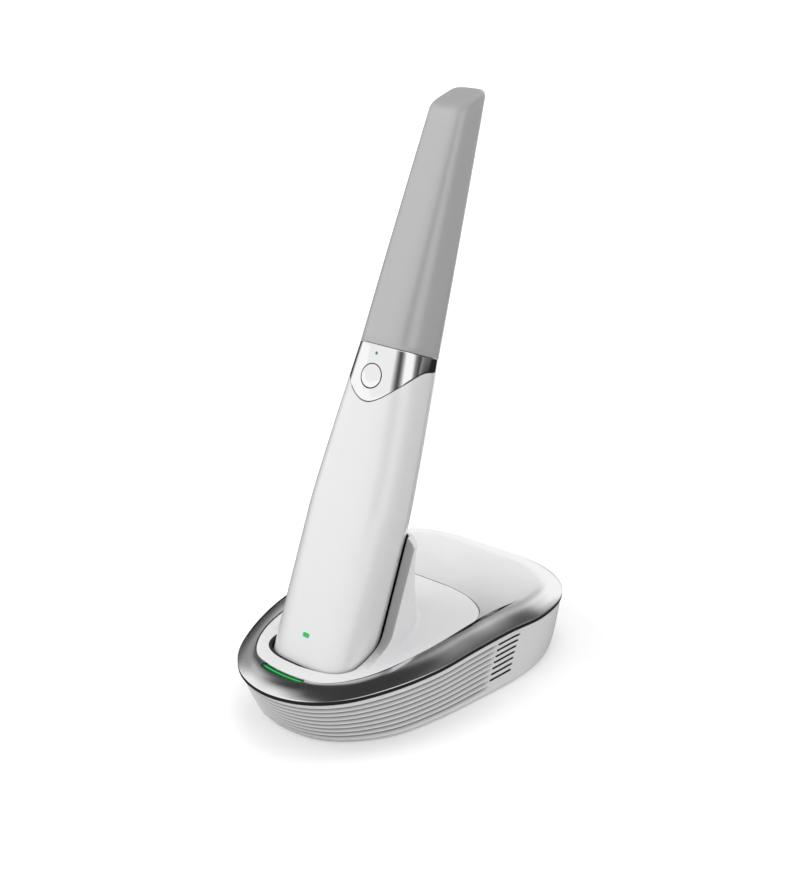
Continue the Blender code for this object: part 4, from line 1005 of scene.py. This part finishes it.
def mark_light(piece, inner, outer):
    """Stores how far across the bar each corner lies, and how bright it is along its length."""
    across = piece.data.attributes.new("across", "FLOAT", "POINT")
    lit = piece.data.attributes.new("lit", "FLOAT", "POINT")
    half = LIGHT_LENGTH / 2
    for vertex, place, glow in zip(piece.data.vertices, across.data, lit.data):
        x = min(max(vertex.co.x, -half), half)
        place.value = (nose_point(x) - inner - vertex.co.y) / (outer - inner)
        glow.value = min((half - abs(x)) / LIGHT_FADE, 1.0)


light_bar = add_piece(
    "light_strip",
    bar_sheet(-JOINT_GAP / 2, JOINT_GAP / 2, LIGHT_WIDTH - JOINT_GAP / 2, TOP_Z - LIGHT_SINK),
    GREEN_LIGHT, "dock_and_handle", ["light_bar"]
)
mark_light(light_bar, JOINT_GAP / 2, LIGHT_WIDTH - JOINT_GAP / 2)


# Inlay: one white satin moulding, a flat plate with the well that the wand's foot drops into
# and the back rest that rises behind the grip. It snaps in from below the cover, and follows
# the wand, whose own frame has X across, Y back from its face and Z along it from its foot.
TIP_AXIS = Vector(next(joint["axis"] for joint in frame["joints"] if joint["name"] == "tip_slide"))
LEAN = math.atan2(TIP_AXIS.y, TIP_AXIS.z)
WAND_FOOT = Vector((0.0, NOSE_Y + 19.4 * MM, TOP_Z - 7.1 * MM))
WAND = Matrix.Translation(WAND_FOOT) @ Matrix.Rotation(-LEAN, 4, "X")
GRIP_WIDTH = 44.4 * MM
GRIP_DEPTH = 32.6 * MM
SHOULDER = 75.0 * MM
NECK_CURVE = 1.25
BAND_TOP = 149.7 * MM
BAND_WIDTH = 31.2 * MM
BAND_DEPTH = 31.8 * MM
TIP_SHOULDER = 255.0 * MM
TIP_WIDTH = 19.8 * MM
TIP_DEPTH = 19.0 * MM
TIP_SETBACK = 3.7 * MM
GRIP_SQUARENESS = 3.0
TIP_SQUARENESS = 3.9
WAND_WALL = 1.8 * MM
WAND_COLUMNS = 200


def blend(start, end, share):
    return start + (end - start) * share


def wand_size(along):
    """Half width, half depth and setback of the front face at a distance along the wand."""
    if along <= BAND_TOP:
        share = max(0.0, (along - SHOULDER) / (BAND_TOP - SHOULDER)) ** NECK_CURVE
        half_width = blend(GRIP_WIDTH, BAND_WIDTH, share) / 2
        return half_width, blend(GRIP_DEPTH, BAND_DEPTH, share) / 2, 0.0
    share = (along - BAND_TOP) / (TIP_SHOULDER - BAND_TOP)
    half_width = blend(BAND_WIDTH, TIP_WIDTH, share) / 2
    return half_width, blend(BAND_DEPTH, TIP_DEPTH, share) / 2, TIP_SETBACK * share


def signed_power(value, power):
    return math.copysign(abs(value) ** power, value)


def section_point(turn, along, depth=0.0):
    """A point of the wand's rounded section. Turn 0 is the front, and depth is inside the skin."""
    half_width, half_depth, setback = wand_size(along)
    share = min(max((along - BAND_TOP) / (TIP_SHOULDER - BAND_TOP), 0.0), 1.0)
    power = 2 / blend(GRIP_SQUARENESS, TIP_SQUARENESS, share)
    x = (half_width - depth) * signed_power(math.sin(turn), power)
    y = (half_depth - depth) * signed_power(math.cos(turn), power)
    return Vector((x, setback + half_depth - y, along))


WAND_TURNS = [2 * math.pi * i / WAND_COLUMNS for i in range(WAND_COLUMNS)]


def wand_ring(along, depth=0.0):
    return [section_point(turn, along, depth) for turn in WAND_TURNS]


def placed(sheet, place=WAND):
    bmesh.ops.transform(sheet, matrix=place, verts=sheet.verts[:])
    return sheet


HOLSTER_RIM = 4.6 * MM
HOLSTER_RIM_DEPTH = 24.5 * MM
HOLSTER_TOP = 72.0 * MM
HOLSTER_CORNER = 10.0 * MM
HOLSTER_BACK_LOW = 72.0 * MM
HOLSTER_BACK_HIGH = 64.0 * MM
HOLSTER_SWEEP = 16.0 * MM
HOLSTER_SWEEP_HEIGHT = 10.0 * MM
HOLSTER_FLARE = 2.4 * MM
HOLSTER_FLARE_HEIGHT = 3.2 * MM
HOLSTER_SPARE = 3.0 * MM
HOLSTER_COLUMNS = 64
HOLSTER_ROWS = 26
POCKET_CLEARANCE = 0.9 * MM
WELL_WALL = 2.0 * MM
WELL_HEIGHT = 23.0 * MM
PLATE_EDGE = 0.1 * MM
FLANGE_THICKNESS = 1.6 * MM
REST_ROOT = 3.6 * MM
HOLSTER_HALF = GRIP_WIDTH / 2 + POCKET_CLEARANCE + HOLSTER_RIM


def holster_outline(z):
    """Plan of the back rest at a height: a straight front with eased corners and a round back."""
    height = max(z - TOP_Z, 0.0)
    share = height / (HOLSTER_TOP - TOP_Z)
    rim_y = WAND_FOOT.y + (z - WAND_FOOT.z) * math.tan(LEAN) + HOLSTER_RIM_DEPTH / math.cos(LEAN)
    front_y = rim_y - HOLSTER_SWEEP * max(0.0, 1 - height / HOLSTER_SWEEP_HEIGHT) ** 3
    back_y = WAND_FOOT.y + blend(HOLSTER_BACK_LOW, HOLSTER_BACK_HIGH, share)
    flare = HOLSTER_FLARE * max(0.0, 1 - height / HOLSTER_FLARE_HEIGHT) ** 2
    power = 2 / (2.3 - 0.5 * share)
    ring = []
    for i in range(HOLSTER_COLUMNS + 1):
        turn = math.pi * i / HOLSTER_COLUMNS
        x = (HOLSTER_HALF + flare) * signed_power(math.cos(turn), power)
        y = front_y + (back_y + flare - front_y) * abs(math.sin(turn)) ** power
        ring.append(Vector((x, y, z)))
    return ring


def capped(sheet):
    """Closes a tube's open ends."""
    bmesh.ops.holes_fill(sheet, edges=[edge for edge in sheet.edges if edge.is_boundary])
    bmesh.ops.recalc_face_normals(sheet, faces=sheet.faces[:])
    return sheet


def make_tongue():
    """The arch that trims the back rest, as a slab that stands in the wand's frame."""
    half = HOLSTER_HALF + HOLSTER_SPARE
    corner = HOLSTER_CORNER + HOLSTER_SPARE
    sheet = bmesh.new()
    low = Vector((-half, -GRIP_DEPTH, 0.0))
    high = Vector((half, GRIP_DEPTH * 3, HOLSTER_TOP))
    middle = Matrix.LocRotScale((low + high) / 2, None, high - low)
    bmesh.ops.create_cube(sheet, size=1.0, matrix=middle)
    top = [
        edge for edge in sheet.edges
        if all(vertex.co.z > HOLSTER_TOP - MM for vertex in edge.verts)
        and edge.verts[0].co.x * edge.verts[1].co.x > 0
    ]
    bmesh.ops.bevel(
        sheet, geom=top, offset=corner, segments=16, profile=0.5, affect="EDGES", material=-1
    )
    return placed(sheet)


def pocket_tube(start, end, grow):
    section = wand_ring(0.0, -grow)
    rows = [[Vector((p.x, p.y, along)) for p in section] for along in (start, end)]
    return placed(capped(rolled(rows)))


SATIN_WHITE = make_finish(
    "satin_white", (0.82, 0.82, 0.83), 0.38, tone=0.02, handling=0.08, edge=0.04,
    grain=2600.0, depth=0.004
)


def make_inlay():
    flange_top = TOP_Z - COVER_WALL - JOINT_GAP
    edge = moved_in(INLAY_RING, JOINT_GAP / 2)
    wide = moved_in(INLAY_RING, -INLAY_FLANGE)
    plate = capped(rolled([
        at_height(moved_in(edge, PLATE_EDGE), TOP_Z), at_height(edge, TOP_Z - PLATE_EDGE),
        at_height(edge, flange_top), at_height(wide, flange_top),
        at_height(wide, flange_top - FLANGE_THICKNESS),
    ]))
    inlay = add_piece(
        "dock_inlay", plate, SATIN_WHITE, "dock_and_handle", ["cradle_inlay"]
    )
    well = add_piece(
        "well_wall",
        pocket_tube(-JOINT_GAP - WELL_WALL, WELL_HEIGHT, POCKET_CLEARANCE + WELL_WALL),
        SATIN_WHITE, "dock_and_handle", []
    )
    carve(well, box_sheet((-0.1, -0.1, flange_top), (0.1, 0.1, flange_top + 0.1)))
    top = WAND_FOOT.z + HOLSTER_TOP * math.cos(LEAN)
    rises = [(i / HOLSTER_ROWS) ** 2 for i in range(HOLSTER_ROWS + 1)]
    levels = [TOP_Z - REST_ROOT] + [TOP_Z + (top - TOP_Z) * rise for rise in rises]
    rest = add_piece(
        "back_rest", capped(rolled([holster_outline(z) for z in levels])), SATIN_WHITE,
        "dock_and_handle", []
    )
    carve(rest, make_tongue(), "INTERSECT")
    for part in (well, rest):
        join = inlay.modifiers.new("join", "BOOLEAN")
        join.operation = "UNION"
        join.solver = "EXACT"
        join.object = part
        settle(inlay)
        bpy.data.objects.remove(part)
    carve(inlay, pocket_tube(-JOINT_GAP, TIP_SHOULDER, POCKET_CLEARANCE))
    return inlay


inlay = make_inlay()
PIN_HOLE = 1.2 * MM
CONTACT_DEPTH = 11.0 * MM
CONTACT_SPACING = 10.0 * MM
for side in (-1, 1):
    hole_x = side * CONTACT_SPACING / 2
    ends = [WAND @ Vector((hole_x, CONTACT_DEPTH, along)) for along in (-WELL_WALL * 3, WELL_WALL)]
    carve(inlay, rod_sheet(PIN_HOLE, *ends))


def soften(piece, voxel, rounds, keep):
    """Rounds a moulding's cut edges: an even mesh, smoothed, then thinned where it is flat."""
    skin = piece.modifiers.new("even", "REMESH")
    skin.mode = "VOXEL"
    skin.voxel_size = voxel
    ease = piece.modifiers.new("ease", "SMOOTH")
    ease.factor = 0.5
    ease.iterations = rounds
    thin = piece.modifiers.new("thin", "DECIMATE")
    thin.ratio = keep
    settle(piece)
    piece.data.shade_smooth()


soften(inlay, 0.55 * MM, 3, 0.55)
# Painted shade: the back rest's front rim is painted grey, where the handle shades it.
RIM_SHADE_GREY = (0.40, 0.40, 0.405)
RIM_TURN = 0.55
# Painted shade: the pocket round the wand's foot and a strip of its lip are painted near-black.
POCKET_SHADE_BLACK = (0.012, 0.012, 0.012)
LIP_END = 0.55
LIP_FULL = 0.05
LIP_LEAST = 1.05
LIP_MOST = 0.25
LIP_EDGE = 30.0
add_tint(SATIN_WHITE, "rim", RIM_SHADE_GREY, 0.5)


def shade_pocket(material):
    """Paints shade into the pocket round the wand's foot, and onto a strip of its lip that is
    widest on the left of the wand.
    """
    tree = material.node_tree
    place = tree.nodes.new("ShaderNodeTexCoord").outputs["Object"]
    spot = tree.nodes.new("ShaderNodeSeparateXYZ")
    tree.links.new(place, spot.inputs["Vector"])
    half_width = GRIP_WIDTH / 2 + POCKET_CLEARANCE
    half_depth = GRIP_DEPTH / 2 + POCKET_CLEARANCE
    shift = WAND_FOOT.y * math.cos(LEAN) - WAND_FOOT.z * math.sin(LEAN) + GRIP_DEPTH / 2
    across = math_node(tree, "DIVIDE", spot.outputs["X"], half_width)
    forward = math_node(tree, "MULTIPLY", spot.outputs["Y"], math.cos(LEAN))
    down = math_node(tree, "MULTIPLY", spot.outputs["Z"], math.sin(LEAN))
    depth = math_node(tree, "SUBTRACT", math_node(tree, "SUBTRACT", forward, down), shift)
    out = math_node(tree, "ADD", *(
        math_node(tree, "POWER", math_node(tree, "ABSOLUTE", term, 0.0), GRIP_SQUARENESS)
        for term in (across, math_node(tree, "DIVIDE", depth, half_depth))
    ))
    lip = map_range(tree, across, LIP_END, LIP_FULL, 0.0, LIP_MOST)
    front = math_node(tree, "MAXIMUM", math_node(tree, "DIVIDE", depth, -half_depth), 0.0)
    reach = math_node(tree, "ADD", math_node(tree, "MULTIPLY", lip, front), LIP_LEAST)
    beyond = math_node(tree, "SUBTRACT", reach, out)
    add_mask(material, math_node(tree, "MULTIPLY", beyond, LIP_EDGE), POCKET_SHADE_BLACK, 0.7)


shade_pocket(SATIN_WHITE)


def mark_rim():
    """Painted shade: the back rest's front rim is greyed, where the handle shades it."""
    rim = inlay.data.attributes.new("rim", "FLOAT", "POINT")
    turn = WAND.inverted().to_3x3()
    for vertex, normal, front in zip(inlay.data.vertices, inlay.data.vertex_normals, rim.data):
        facing = -(turn @ normal.vector).y
        above = vertex.co.z > TOP_Z + 0.5 * MM
        front.value = min(max((facing - RIM_TURN) * 5, 0.0), 1.0) * above


mark_rim()


# Charging pins: gold-plated spring pins in a black block under the well. They press on two
# gold contacts in the wand's foot.
GOLD = make_finish(
    "gold_contact", (0.92, 0.68, 0.30), 0.22, metallic=1.0, tone=0.06, handling=0.15, edge=0.1,
    grain=1500.0, depth=0.004
)
for node in ("charge_pin_left", "charge_pin_right", "charge_contact_left", "charge_contact_right"):
    dress(node, GOLD)


# Handle: two white mouldings with a satin lacquer that meet in a fine seam down each side. The
# front one carries the charge lamp. Their upper edge follows the band's tongue.
SEAM_DEPTH = 21.8 * MM
HANDLE_FOOT_ROUND = 5.0 * MM
HANDLE_ROWS = 24
NECK_START = SHOULDER * 1.5
NECK_ROWS = 16
RIM_EASE = 0.15 * MM
FLOOR_SPREAD = 0.98
BAND_SIDE = 5.75 * MM
TONGUE_DROP = 19.05 * MM
TONGUE_SPREAD = math.radians(54.1)


def band_edge(turn):
    """Where the band ends below: level at the back, with a tongue that comes down at the front."""
    spot = section_point(turn, BAND_TOP)
    around = math.atan2(abs(spot.x), BAND_DEPTH / 2 - spot.y)
    return BAND_TOP - BAND_SIDE - TONGUE_DROP * math.exp(-(around / TONGUE_SPREAD) ** 2)


def neck_ring(share, depth, drop=JOINT_GAP):
    """A row of the handle between the top of its grip and its upper edge."""
    return [
        section_point(turn, blend(NECK_START, band_edge(turn) - drop, share), depth)
        for turn in WAND_TURNS
    ]


def make_cup():
    """The whole handle as one cup: up the outside, over the upper edge and down the inside."""
    spreads = (FLOOR_SPREAD, 0.8, 0.6, 0.45)
    rows = [wand_ring(0.0, GRIP_DEPTH / 2 * share) for share in spreads]
    for step in range(9):
        turn = math.pi / 2 * step / 8
        up = HANDLE_FOOT_ROUND * (1 - math.cos(turn))
        rows.append(wand_ring(up, HANDLE_FOOT_ROUND * (1 - math.sin(turn))))
    for step in range(1, HANDLE_ROWS + 1):
        rows.append(wand_ring(blend(HANDLE_FOOT_ROUND, NECK_START, step / HANDLE_ROWS)))
    rows += [neck_ring(step / NECK_ROWS, 0.0) for step in range(1, NECK_ROWS)]
    rows.append(neck_ring(1.0, 0.0, JOINT_GAP + RIM_EASE))
    rows += [neck_ring(1.0, depth) for depth in (RIM_EASE, WAND_WALL)]
    rows += [neck_ring(share, WAND_WALL) for share in (0.6, 0.0)]
    rows += [wand_ring(z, WAND_WALL) for z in (SHOULDER, HANDLE_FOOT_ROUND)]
    rows.append(wand_ring(WAND_WALL, HANDLE_FOOT_ROUND))
    rows.append(wand_ring(WAND_WALL, GRIP_DEPTH / 2 * FLOOR_SPREAD))
    return capped(rolled(rows))


def half_cup(seam_y, front):
    """One of the two shells, cut at the seam and closed across its walls."""
    sheet = make_cup()
    bmesh.ops.bisect_plane(
        sheet, geom=sheet.verts[:] + sheet.edges[:] + sheet.faces[:], dist=MERGE,
        plane_co=(0, seam_y, 0), plane_no=(0, 1, 0), clear_outer=front, clear_inner=not front,
    )
    rim = [edge for edge in sheet.edges if edge.is_boundary]
    bmesh.ops.edgeloop_fill(sheet, edges=rim)
    bmesh.ops.recalc_face_normals(sheet, faces=sheet.faces[:])
    return placed(sheet)


HANDLE_WHITE = make_finish(
    "handle_white", (0.82, 0.82, 0.825), 0.30, tone=0.015, handling=0.07, edge=0.03,
    grain=3000.0, depth=0.003
)
lacquer = shader_of(HANDLE_WHITE).inputs
lacquer["Coat Weight"].default_value = 1.0
lacquer["Coat Roughness"].default_value = 0.16
lacquer["Coat IOR"].default_value = 1.7
front_casing = add_piece(
    "front_casing", half_cup(SEAM_DEPTH - JOINT_GAP / 2, True), HANDLE_WHITE,
    "dock_and_handle", ["front_shell"]
)
add_piece(
    "rear_casing", half_cup(SEAM_DEPTH + JOINT_GAP / 2, False), HANDLE_WHITE,
    "dock_and_handle", ["rear_shell"]
)


# Charge lamp: a small window with round corners, moulded in green polycarbonate. It is pressed
# into the front shell and stands flush with the handle's face.
LAMP_POSITION = 20.0 * MM
LAMP_WIDTH = 3.3 * MM
LAMP_HEIGHT = 1.9 * MM
LAMP_CORNER = 0.45 * MM


def lamp_sheet(grow, front, back):
    half = Vector((LAMP_WIDTH / 2 + grow, 0.0, LAMP_HEIGHT / 2 + grow))
    low = Vector((-half.x, front, LAMP_POSITION - half.z))
    high = Vector((half.x, back, LAMP_POSITION + half.z))
    sheet = box_sheet(low, high)
    corners = [e for e in sheet.edges if abs(e.verts[0].co.y - e.verts[1].co.y) > MM / 2]
    bmesh.ops.bevel(
        sheet, geom=corners, offset=LAMP_CORNER, segments=5, profile=0.5, affect="EDGES",
        material=-1
    )
    return placed(sheet)


def make_lamp_finish(name, colour, strength):
    material = make_finish(name, tuple(part * 0.2 for part in colour), 0.3, tone=0.1, grain=800.0)
    shader_of(material).inputs["Emission Color"].default_value = (*colour, 1.0)
    shader_of(material).inputs["Emission Strength"].default_value = strength
    return material


LAMP_GREEN = make_lamp_finish("lamp_green", (0.02, 0.42, 0.09), 1.0)
carve(front_casing, lamp_sheet(0.12 * MM, -WAND_WALL, WAND_WALL * 2))
add_piece(
    "lamp_lens", lamp_sheet(0.0, 0.05 * MM, WAND_WALL), LAMP_GREEN, "dock_and_handle",
    ["charge_light"]
)


# Inside the handle: a lithium cell in a blue wrap, and the main board on four steel screws. A
# small second board carries the scan button's switch.
for node in ("main_board", "button_board"):
    dress(node, CIRCUIT_BOARD)
dress("button_switch", BLACK_PLASTIC)
for number in range(1, 5):
    dress(f"board_screw_{number}", STEEL)
BATTERY_WRAP = make_finish(
    "battery_wrap", (0.07, 0.16, 0.42), 0.28, tone=0.12, edge=0.2, grain=400.0, depth=0.03,
    stretch=(1, 1, 0.2)
)
dress("battery_pack", BATTERY_WRAP)


# Band: a polished metal-plated ring round the neck, with a tongue that holds the scan button
# and its lamp. It clips over the handle's upper edge.
BUTTON_POSITION = 136.0 * MM
BUTTON_RADIUS = 5.25 * MM
BUTTON_CLEARANCE = 0.35 * MM
STATUS_POSITION = 146.0 * MM
STATUS_RADIUS = 0.58 * MM
BAND_EASE = 0.14 * MM
BAND_ROWS = 16
CHROME_FACE_TURN = 0.93

POLISHED = make_finish(
    "polished_band", (0.93, 0.93, 0.94), 0.05, metallic=1.0, tone=0.02, handling=0.03, grain=2500.0,
    depth=0.0006, stretch=(1.0, 1.0, 12.0)
)
# Near-black where the layer is 1: bare plastic, painted dark reflection and painted shade.
add_tint(POLISHED, "bare_and_painted_dark", (0.015, 0.015, 0.015), 0.5)


def band_row(share, depth, lift=0.0):
    return [
        section_point(turn, blend(band_edge(turn), BAND_TOP, share) + lift, depth)
        for turn in WAND_TURNS
    ]


def make_band():
    crest = BAND_EASE * 0.3
    rows = [band_row(0.0, WAND_WALL), band_row(0.0, BAND_EASE), band_row(0.0, crest, crest)]
    rows.append(band_row(0.0, 0.0, BAND_EASE))
    rows += [band_row(step / BAND_ROWS, 0.0) for step in range(1, BAND_ROWS)]
    rows += [band_row(1.0, 0.0, -BAND_EASE), band_row(1.0, crest, -crest)]
    rows += [band_row(1.0, BAND_EASE), band_row(1.0, WAND_WALL), band_row(0.5, WAND_WALL)]
    return placed(rolled(rows, closed=True))


band = add_piece(
    "polished_collar", make_band(), POLISHED, "dock_and_handle", ["band_ring"],
)


def front_rod(radius, along, front, back, segments):
    """A rod that runs back through the wand's front face."""
    return rod_sheet(radius, *(WAND @ Vector((0.0, y, along)) for y in (front, back)), segments)


for radius, along, segments in (
    (BUTTON_RADIUS + BUTTON_CLEARANCE, BUTTON_POSITION, 64),
    (STATUS_RADIUS + 0.1 * MM, STATUS_POSITION, 32),
):
    carve(band, front_rod(radius, along, -WAND_WALL, WAND_WALL * 3, segments))


def band_bare_and_painted_dark(face):
    """Faces that do not face straight out are painted near-black: bare plastic on the inside, a
    painted dark reflection along the eased edges and painted shade in the holes.
    """
    back = WAND.inverted()
    spot = back @ face.center
    normal = back.to_3x3() @ face.normal
    outward = Vector((spot.x, spot.y - GRIP_DEPTH / 2, 0.0)).normalized()
    return float(normal.dot(outward) < CHROME_FACE_TURN)


mark_faces(band, "bare_and_painted_dark", band_bare_and_painted_dark)


# Scan button: a moulded disc, plated like the band, with an eased edge. A flange behind the
# band keeps it in, and its stem reaches back to the switch.
STEM = 0.35
STEM_LENGTH = 2.4 * MM


def front_turn(along):
    """Turns a spun piece's axis back into the wand, at a place along the front face."""
    return WAND @ Matrix.Translation((0.0, 0.0, along)) @ Matrix.Rotation(-math.pi / 2, 4, "X")


def make_button():
    edge = 0.3 * MM
    flange = WAND_WALL + 0.6 * MM
    back = flange + 0.7 * MM
    radius = BUTTON_RADIUS
    outline = [(0.0, 0.0), (radius * 0.5, 0.0), (radius - edge, 0.0)]
    outline += [
        (radius - edge * (1 - math.sin(t)), edge * (1 - math.cos(t)))
        for t in (0.4, 0.8, 1.2, 1.57)
    ]
    outline += [(radius, flange), (radius + MM, flange), (radius + MM, back)]
    outline += [(radius * STEM, back), (radius * STEM, flange + STEM_LENGTH)]
    outline.append((0.0, flange + STEM_LENGTH))
    return spun(outline, front_turn(BUTTON_POSITION), 96)


button = add_piece(
    "button_disc", make_button(), POLISHED, "button", ["scan_button"]
)
# Faces that do not face front are painted near-black: a painted dark reflection on the eased edge,
# and painted shade in the gap round the disc.
mark_faces(
    button, "bare_and_painted_dark", lambda face: float((WAND.inverted().to_3x3() @ face.normal).y > -0.7)
)


# Status lamp: a light guide turned from green acrylic, with a domed end. It is pressed into the
# hole above the button and ends level with the band.
def make_status_lamp():
    low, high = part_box("status_light")
    length = (high - low).y / math.cos(LEAN) - STATUS_RADIUS * 0.9
    dome = 0.2 * MM
    outline = [(0.0, 0.0), (STATUS_RADIUS * 0.6, dome * 0.3), (STATUS_RADIUS * 0.9, dome * 0.8)]
    outline += [(STATUS_RADIUS, dome * 1.6), (STATUS_RADIUS, length), (0.0, length)]
    return spun(outline, front_turn(STATUS_POSITION), 32)


STATUS_GREEN = make_lamp_finish("status_green", (0.02, 0.30, 0.10), 0.9)
add_piece(
    "status_lamp", make_status_lamp(), STATUS_GREEN, "dock_and_handle", ["status_light"],
)


# Nose: a moulded black tube that the tip slides on, with a rubber ring in its groove and a
# glass window in its end. The lens barrels sit behind the window.
SLEEVE_WALL = 1.75 * MM
TUBE_INSET = 2.15 * MM
TUBE_WALL = 1.4 * MM
TUBE_START = 118.0 * MM
TUBE_LOWER = 134.0 * MM
TUBE_ROWS = 16
TUBE_EASE = 0.4 * MM
TUBE_END = 228.0 * MM
SEAL_POSITION = 156.0 * MM
SEAL_HEIGHT = 1.6 * MM
SEAL_SINK = 0.7 * MM
GLASS_THICKNESS = 1.5 * MM


def make_tube():
    glass_z = TUBE_END - GLASS_THICKNESS - JOINT_GAP
    seal_end = SEAL_POSITION + SEAL_HEIGHT
    crest = TUBE_EASE * 0.3
    rows = [wand_ring(z, TUBE_INSET) for z in (TUBE_START, TUBE_LOWER, BAND_TOP, SEAL_POSITION)]
    rows += [wand_ring(z, TUBE_INSET + SEAL_SINK) for z in (SEAL_POSITION, seal_end)]
    for step in range(TUBE_ROWS + 1):
        up = (TUBE_END - TUBE_EASE - seal_end) * step / TUBE_ROWS
        rows.append(wand_ring(seal_end + up, TUBE_INSET))
    rows.append(wand_ring(TUBE_END - crest, TUBE_INSET + crest))
    rows.append(wand_ring(TUBE_END, TUBE_INSET + TUBE_EASE))
    rows += [wand_ring(z, TUBE_INSET + TUBE_WALL / 2) for z in (TUBE_END, glass_z)]
    inner = TUBE_INSET + TUBE_WALL + SEAL_SINK
    rows += [wand_ring(z, inner) for z in (glass_z, BAND_TOP, TUBE_START)]
    return placed(rolled(rows, closed=True))


tube = add_piece(
    "nose_tube", make_tube(), BLACK_PLASTIC, "dock_and_handle", ["nose_barrel"],
)
room = BUTTON_RADIUS + 2 * MM
room_low = Vector((-room, -JOINT_GAP, TUBE_START - JOINT_GAP))
carve(tube, placed(box_sheet(room_low, (room, GRIP_DEPTH / 3, BUTTON_POSITION + room))))
carve(tube, front_rod(STATUS_RADIUS + JOINT_GAP, STATUS_POSITION, -JOINT_GAP, GRIP_DEPTH / 3, 24))


def make_seal():
    middle = SEAL_POSITION + SEAL_HEIGHT / 2
    inner = TUBE_INSET + SEAL_SINK - JOINT_GAP
    outer = SLEEVE_WALL + JOINT_GAP / 2
    rows = []
    for step in range(16):
        turn = 2 * math.pi * step / 16
        depth = (inner + outer) / 2 - (inner - outer) / 2 * math.cos(turn)
        rows.append(wand_ring(middle + (SEAL_HEIGHT - JOINT_GAP) / 2 * math.sin(turn), depth))
    return placed(rolled(rows, closed=True))


add_piece("seal_ring", make_seal(), RUBBER, "dock_and_handle", ["tip_seal"])

GLASS = make_finish(
    "glass", (0.96, 0.98, 1.0), 0.02, tone=0.0, handling=0.01, grain=300.0, depth=0.0005
)
shader_of(GLASS).inputs["Transmission Weight"].default_value = 0.92
shader_of(GLASS).inputs["IOR"].default_value = 1.5
dress("nose_glass", GLASS)
dress("optics_frame", STEEL)
dress("camera_module", BLACK_PLASTIC)
dress("projector_module", BLACK_PLASTIC)


# Tip: a grey autoclavable sleeve that slides off for cleaning, closed by a slanted end. A window
# in its back lets the mirror under the end look into the mouth.
TIP_SLANT = math.radians(39.0)
TIP_CROWN = 1.6 * MM
TIP_CROWN_DEPTH = 6.0 * MM
TIP_EDGE_ROUND = 2.7 * MM
SLEEVE_END_WALL = 2.3 * MM
WINDOW_WIDTH = 12.0 * MM
WINDOW_LENGTH = 15.0 * MM
WINDOW_END = 257.0 * MM
WINDOW_CORNER = 2.0 * MM
TIP_ROWS = 30
CAP_ROWS = 10
ROUND_STEPS = 6
CAP_REACH = 9.3 * MM
TIP_LIP_EASE = 0.15 * MM


def end_level(back):
    """Height of the slanted end at a depth. It eases over into a crown near the back."""
    rise = (back - TIP_SETBACK) * math.tan(TIP_SLANT)
    late = max(back - TIP_SETBACK - TIP_DEPTH + TIP_CROWN_DEPTH, 0.0) / TIP_CROWN_DEPTH
    return TIP_SHOULDER + rise - TIP_CROWN * late ** 2


def end_ring(depth=0.0, drop=0.0):
    ring = []
    for turn in WAND_TURNS:
        back = section_point(turn, TIP_SHOULDER, depth).y
        point = section_point(turn, end_level(back), depth)
        ring.append(Vector((point.x, point.y, end_level(point.y) - drop)))
    return ring


def make_tip():
    start = BAND_TOP + JOINT_GAP / 3
    ease = TIP_LIP_EASE
    rows = [end_ring(depth, SLEEVE_END_WALL) for depth in (9.2 * MM, 5 * MM, SLEEVE_WALL)]
    rows += [wand_ring(TIP_SHOULDER - 8 * MM, SLEEVE_WALL), wand_ring(start, SLEEVE_WALL)]
    rows += [wand_ring(start, ease), wand_ring(start + ease * 0.3, ease * 0.3)]
    low = wand_ring(start + ease)
    rows.append(low)
    high = end_ring(0.0, TIP_EDGE_ROUND)
    for step in range(1, TIP_ROWS + 1):
        heights = [blend(a.z, b.z, step / TIP_ROWS) for a, b in zip(low, high)]
        rows.append([section_point(turn, z) for turn, z in zip(WAND_TURNS, heights)])
    for step in range(ROUND_STEPS + 1):
        turn = math.pi / 2 * step / ROUND_STEPS
        depth, drop = (TIP_EDGE_ROUND * (1 - part) for part in (math.cos(turn), math.sin(turn)))
        rows.append(end_ring(depth, drop))
    rest = CAP_REACH - TIP_EDGE_ROUND
    rows += [end_ring(TIP_EDGE_ROUND + rest * step / CAP_ROWS) for step in range(1, CAP_ROWS + 1)]
    return placed(capped(rolled(rows)))


TIP_GREY = make_finish(
    "tip_grey", (0.43, 0.43, 0.435), 0.26, tone=0.03, handling=0.06, edge=0.05,
    grain=2400.0, depth=0.003
)
shader_of(TIP_GREY).inputs["Specular IOR Level"].default_value = 1.0
shader_of(TIP_GREY).inputs["IOR"].default_value = 1.6
tip = add_piece("tip_cover", make_tip(), TIP_GREY, "tip", ["tip_sleeve"])


def window_sheet():
    low = Vector((-WINDOW_WIDTH / 2, TIP_SETBACK + TIP_DEPTH * 0.6, WINDOW_END - WINDOW_LENGTH))
    high = Vector((WINDOW_WIDTH / 2, TIP_SETBACK + TIP_DEPTH * 2, WINDOW_END))
    sheet = box_sheet(low, high)
    corners = [e for e in sheet.edges if abs(e.verts[0].co.y - e.verts[1].co.y) > MM]
    bmesh.ops.bevel(
        sheet, geom=corners, offset=WINDOW_CORNER, segments=8, profile=0.5, affect="EDGES",
        material=-1
    )
    return placed(sheet)


carve(tip, window_sheet())
MIRROR = make_finish(
    "mirror", (0.93, 0.94, 0.95), 0.02, metallic=1.0, tone=0.0, handling=0.01, grain=500.0,
    depth=0.0002
)
dress("tip_mirror", MIRROR)
